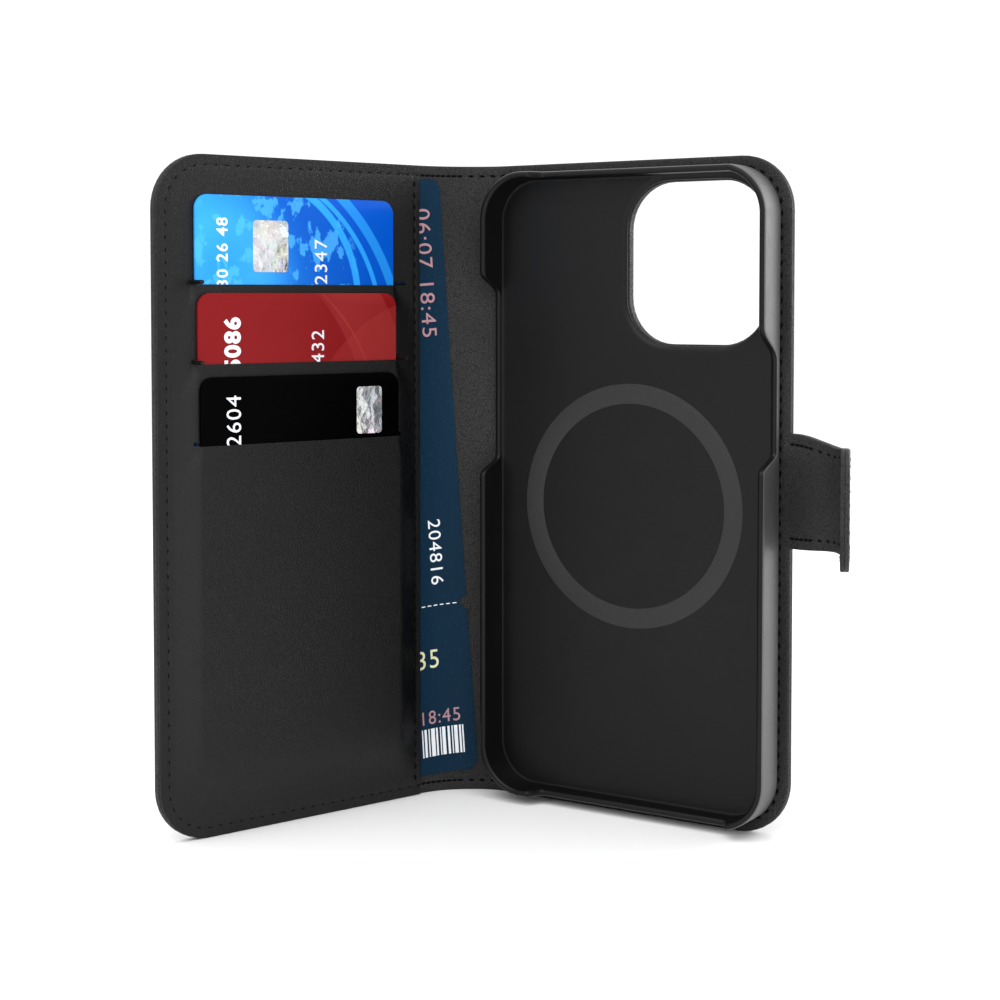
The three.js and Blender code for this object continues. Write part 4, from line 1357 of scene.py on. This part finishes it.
def strap():
    """Two plies sewn together: one piece leaves the back cover, the next bends into the tab."""
    half = STRAP_SIDE / 2
    first, second, third, fourth = STRAP_FACES

    def inner_top(p, z, d):
        return -first - quarter_round(d, 0.4) - groove(d - SEAM_INSET)

    def inner_under(p, z, d):
        return -second + quarter_round(d, STRAP_GLUED_ROUND)

    def outer_top(p, z, d):
        return -fourth + quarter_round(d, 0.5) + groove(d - SEAM_INSET)

    def outer_under(p, z, d):
        return -third - quarter_round(d, STRAP_GLUED_ROUND)

    root_length = half + STRAP_LAP
    root = Leaf(root_length, STRAP_LOW, STRAP_HIGH, STRAP_CORNER, is_open=True)
    tab = Leaf(STRAP_SIDE + STRAP_TAB - half, STRAP_LOW, STRAP_HIGH, STRAP_CORNER)

    def on_root(p, n, z):
        return on_strap(half - p, n, z)

    def on_tab(p, n, z):
        return on_strap(half + p, n, z)

    def bend_root(obj):
        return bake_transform(obj, "back_cover", "strap_side", on_strap(0.0, 0, 0), on_strap(5.0, 0, 0))

    def bend_tab(obj):
        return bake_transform(obj, "strap_side", "strap_tab", on_strap(STRAP_SIDE - 5.5, 0, 0),
                        on_strap(STRAP_SIDE + 5.5, 0, 0))

    root_columns = spread(0, root_length, 16)
    root_rows = spread(STRAP_LOW + STRAP_INSETS[-1], STRAP_HIGH - STRAP_INSETS[-1], 6)
    tab_columns = spread(0, half + 5.0, 28) + spread(half + 5.0, tab.length - STRAP_CORNER, 6)[1:]
    tab_rows = spread(STRAP_LOW + STRAP_CORNER, STRAP_HIGH - STRAP_CORNER, 4)
    for leaf, columns, rows, place, bend, part in (
            (root, root_columns, root_rows, on_root, bend_root, "side"),
            (tab, tab_columns, tab_rows, on_tab, bend_tab, "tab")):
        lining = leaf.build(f"strap_{part}_lining", columns, rows, STRAP_INSETS, inner_top, inner_under)
        settle(lining, place, LINING)
        bend(finish_piece(lining, "lining", f"strap_{part}_inner_ply"))
        skin = leaf.build(f"strap_{part}_skin", columns, rows, STRAP_INSETS, outer_top, outer_under)
        settle(skin, place, SKIN)
        bend(finish_piece(skin, "skin", f"strap_{part}_outer_ply"))
        paths = leaf.seam(SEAM_INSET, STITCH_PITCH / 2)
        if leaf.is_open:
            ends = (STITCH_PITCH / 2, root_length - 1.6)
            paths = [[(p, path[0][1]) for p in ends] for path in paths]
        inner = stitches(f"strap_{part}_stitches", paths, -first - STITCH_SUNK, place)
        if part == "tab":
            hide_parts("strap_tab_thread")
        else:
            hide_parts("strap_side_bottom_thread", "strap_side_top_thread")
        bend(inner)
        outer = stitches(f"strap_{part}_outer_stitches", paths, -fourth + STITCH_SUNK + 0.04, place,
                         side=-1)
        bend(outer)


# ------------------------------------------------------------------ the phone tray

def s_curve(value, start, end):
    """Like ease, but gentler at both ends."""
    t = min(1.0, max(0.0, (value - start) / (end - start)))
    return t * t * t * (t * (6 * t - 15) + 10)


def rim_height(along, side):
    """How high the tray's rim stands at a place along a wall: x on the ends and z on the sides."""
    low_from, low_to, run_down, run_up, height = LOW_RIMS[side]
    before = 1 - s_curve(along, low_from - run_down, low_from)
    after = s_curve(along, low_to, low_to + run_up)
    return height + (TRAY_DEPTH - height) * max(before, after)


def tray_path():
    """Points round the tray's outside, with the outward direction and the rim height at each."""
    r = TRAY_CORNER
    x0, x1, z0, z1 = TRAY_LOW.x, TRAY_HIGH.x, TRAY_LOW.z, TRAY_HIGH.z

    def fine(start, end, ramps):
        """Steps along a wall, close together where its rim climbs."""
        marks = set(spread(start, end, 12))
        for low, high in ramps:
            marks |= set(spread(low, high, 14))
        return sorted(marks)

    def ramps(side):
        low_from, low_to, run_down, run_up, _ = LOW_RIMS[side]
        return (low_from - run_down, low_from), (low_to, low_to + run_up)

    path = []
    strap_side = fine(z0 + r, z1 - r, ramps("strap"))
    spine_side = fine(z0 + r, z1 - r, ramps("spine"))
    ends = fine(x0 + r, x1 - r, (ramps("end")[0], (25.0, x1 - r)))

    def arc(centre, start):
        for angle in spread(start, start + math.pi / 2, 32)[1:-1]:
            c, s = math.cos(angle), math.sin(angle)
            x, z = centre[0] + r * c, centre[1] + r * s
            path.append((x, z, c, s, rim_height(x, "end")))

    path += [(x1, z, 1, 0, rim_height(z, "strap")) for z in strap_side]
    arc((x1 - r, z1 - r), 0)
    path += [(x, z1, 0, 1, rim_height(x, "end")) for x in reversed(ends)]
    arc((x0 + r, z1 - r), math.pi / 2)
    path += [(x0, z, -1, 0, rim_height(z, "spine")) for z in reversed(spine_side)]
    arc((x0 + r, z0 + r), math.pi)
    path += [(x, z0, 0, -1, rim_height(x, "end")) for x in ends]
    arc((x1 - r, z0 + r), 1.5 * math.pi)
    return path


def tray_inset(spot):
    """How far inside the tray's outline a point is."""
    middle_x, middle_z = (TRAY_LOW.x + TRAY_HIGH.x) / 2, (TRAY_LOW.z + TRAY_HIGH.z) / 2
    past_x = abs(spot.x - middle_x) - (TRAY_HIGH.x - middle_x - TRAY_CORNER)
    past_z = abs(spot.z - middle_z) - (TRAY_HIGH.z - middle_z - TRAY_CORNER)
    if past_x > 0 and past_z > 0:
        return TRAY_CORNER - math.hypot(past_x, past_z)
    return TRAY_CORNER - max(past_x, past_z)


def tray_shell():
    """A wall section carried round the tray."""
    floor = TRAY_FLOOR
    # Each point's inset from the outside, its height, and 1 where that counts from the rim.
    section = (
        (6.0, 0.04, 0), (1.3, 0.04, 0), (0.8, 0.1, 0), (0.4, 0.3, 0), (0.12, 0.62, 0), (0.0, 1.05, 0),
        (0.0, -0.8, 1), (0.05, -0.52, 1), (0.2, -0.24, 1), (0.45, -0.06, 1), (0.8, 0.0, 1),
        (1.12, -0.05, 1), (1.36, -0.2, 1), (1.52, -0.42, 1), (1.58, -0.66, 1), (1.62, floor + 0.3, 0),
        (1.72, floor + 0.12, 0), (1.95, floor + 0.02, 0), (2.3, floor, 0), (6.5, floor, 0),
    )
    path = tray_path()
    rings = []
    for inset, height, from_rim in section:
        rings.append([(x - dx * inset, height + from_rim * rim, z - dz * inset)
                      for x, z, dx, dz, rim in path])
    shell = loft("tray_shell", rings)

    def opening(grow):
        return rounded_outline(CAMERA_CENTRE, CAMERA_SIZE, CAMERA_CORNER, 0.3 + grow, 14)
    flare = [(-0.6, 0.02), (0.04, 0.02), (0.35, 0.0), (0.6, 0.06), (0.8, 0.22), (1.0, 0.56), (1.13, 0.95),
             (1.2, 1.4), (1.5, 1.9)]
    cut(shell, prism("camera_cutter", opening, flare))
    cut(shell, annulus("recess_cutter", RING_INNER - 0.1, RING_OUTER + 0.1, ((-1.0, 0.0), (0.8, 0.0))))
    cut(shell, annulus("seat_cutter", RING_INNER, RING_OUTER, ((RING_SEAT, 0.0), (2.0, 0.0))))
    settle(shell, on_back_cover, TRAY, sharp=30)
    # The outer wall faces take the lighter material: painted light on the tray's outside, over the same
    # plastic.
    shell.data.materials.append(TRAY_SIDE_PAINTED_LIGHT)
    for face in shell.data.polygons:
        outside = tray_inset(face.center / MM) < 0.3 and abs(face.normal.y) < 0.6
        face.material_index = 1 if outside else 0
    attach(finish_piece(shell, "tray", "phone_tray"), "phone_tray")


def annulus(name, inner, outer, layers, steps=96):
    """A flat ring round the magnets' centre; layers are (height, how far its rim is drawn in)."""
    section = [(outer - drawn, height) for height, drawn in layers]
    section += [(inner + drawn, height) for height, drawn in reversed(layers)]
    rings = []
    for i in range(steps):
        angle = 2 * math.pi * i / steps
        c, s = math.cos(angle), math.sin(angle)
        rings.append([(radius * c, height, RING_Z + radius * s) for radius, height in section])
    return loft(name, rings, round_again=True)


def ring_print():
    layers = ((RING_SEAT + 0.01, 0.0), (TRAY_FLOOR, 0.0), (RING_FACE - 0.01, 0.05), (RING_FACE, 0.12))
    ring = annulus("alignment_ring", RING_INNER + 0.02, RING_OUTER - 0.02, layers, 144)
    settle(ring, on_back_cover, RING, sharp=60)
    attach(finish_piece(ring, "ring", "magnet_ring_trim"), "phone_tray")


# ------------------------------------------------------------------ frame pieces that stay as they are

def dress_frame():
    finishes = {"tray_holding_plate": STEEL, "closure_plate": STEEL, "strap_magnet": NICKEL,
                "strap_anchor": SKIN}
    finishes.update({name: NICKEL for name in NODES if name.startswith("ring_magnet_")})
    for name, finish in finishes.items():
        mesh = NODES[name].data
        mesh.materials.clear()
        mesh.materials.append(finish)


# ------------------------------------------------------------------ stage, light and camera

FLOOR_HALF = 4.0                        # in metres, as everything on the stage is
WORLD_STRENGTH = 1.12
LENS = 67.02                            # the lens and its shift, in the camera's own units
LENS_SHIFT = -0.12
CAMERA_SPOT = Vector((211.35, FACE_Y - 385.87, 122.73))
CAMERA_AROUND = math.radians(32.825)
CAMERA_DOWN = math.radians(2.531)


def studio():
    """A plain pale floor under soft, even light."""
    corners = ((-1, -1), (1, -1), (1, 1), (-1, 1))
    floor = mesh_object("floor", [(FLOOR_HALF * x, FLOOR_HALF * y, cad_box[0].z) for x, y in corners],
                        [(0, 1, 2, 3)])
    material, tree, surface = new_material("pale_floor")
    surface.inputs["Base Color"].default_value = grey(0.92)
    surface.inputs["Roughness"].default_value = 0.9
    surface.inputs["Specular IOR Level"].default_value = 0.1
    floor.data.materials.append(material)
    world = bpy.data.worlds.new("studio")
    world.use_nodes = True
    background = world.node_tree.nodes["Background"]
    background.inputs["Color"].default_value = grey(1.0)
    background.inputs["Strength"].default_value = WORLD_STRENGTH
    bpy.context.scene.world = world
    soft_box("front_soft_box", (0.1, -0.55, 0.8), (0, 0, 0.07), 1.1, 7.0)
    soft_box("rim_soft_box", (0.5, 0.8, 0.3), (0.03, 0, 0.08), 0.7, 6.5)


def soft_box(name, spot, target, size, power):
    light = bpy.data.lights.new(name, "AREA")
    light.shape = "SQUARE"
    light.size = size
    light.energy = power
    obj = new_object(name, light)
    obj.location = spot
    obj.rotation_euler = (Vector(target) - Vector(spot)).to_track_quat("-Z", "Y").to_euler()


def camera():
    data = bpy.data.cameras.new("camera")
    data.lens = LENS
    data.sensor_width = 36.0
    data.shift_y = LENS_SHIFT
    data.clip_start, data.clip_end = 0.02, 20.0
    obj = new_object("camera", data)
    level = math.cos(CAMERA_DOWN)
    ahead = Vector((-math.sin(CAMERA_AROUND) * level, math.cos(CAMERA_AROUND) * level,
                    -math.sin(CAMERA_DOWN)))
    obj.location = CAMERA_SPOT * MM
    obj.rotation_euler = ahead.to_track_quat("-Z", "Y").to_euler()
    bpy.context.scene.camera = obj


camera()
back_leather()
front_leather()
boards()
camera_window_edge()
card_panel()
pocket_backing()
card_prints()
ticket()
strap()
tray_shell()
ring_print()
dress_frame()
studio()
bpy.context.scene.view_settings.view_transform = "Standard"
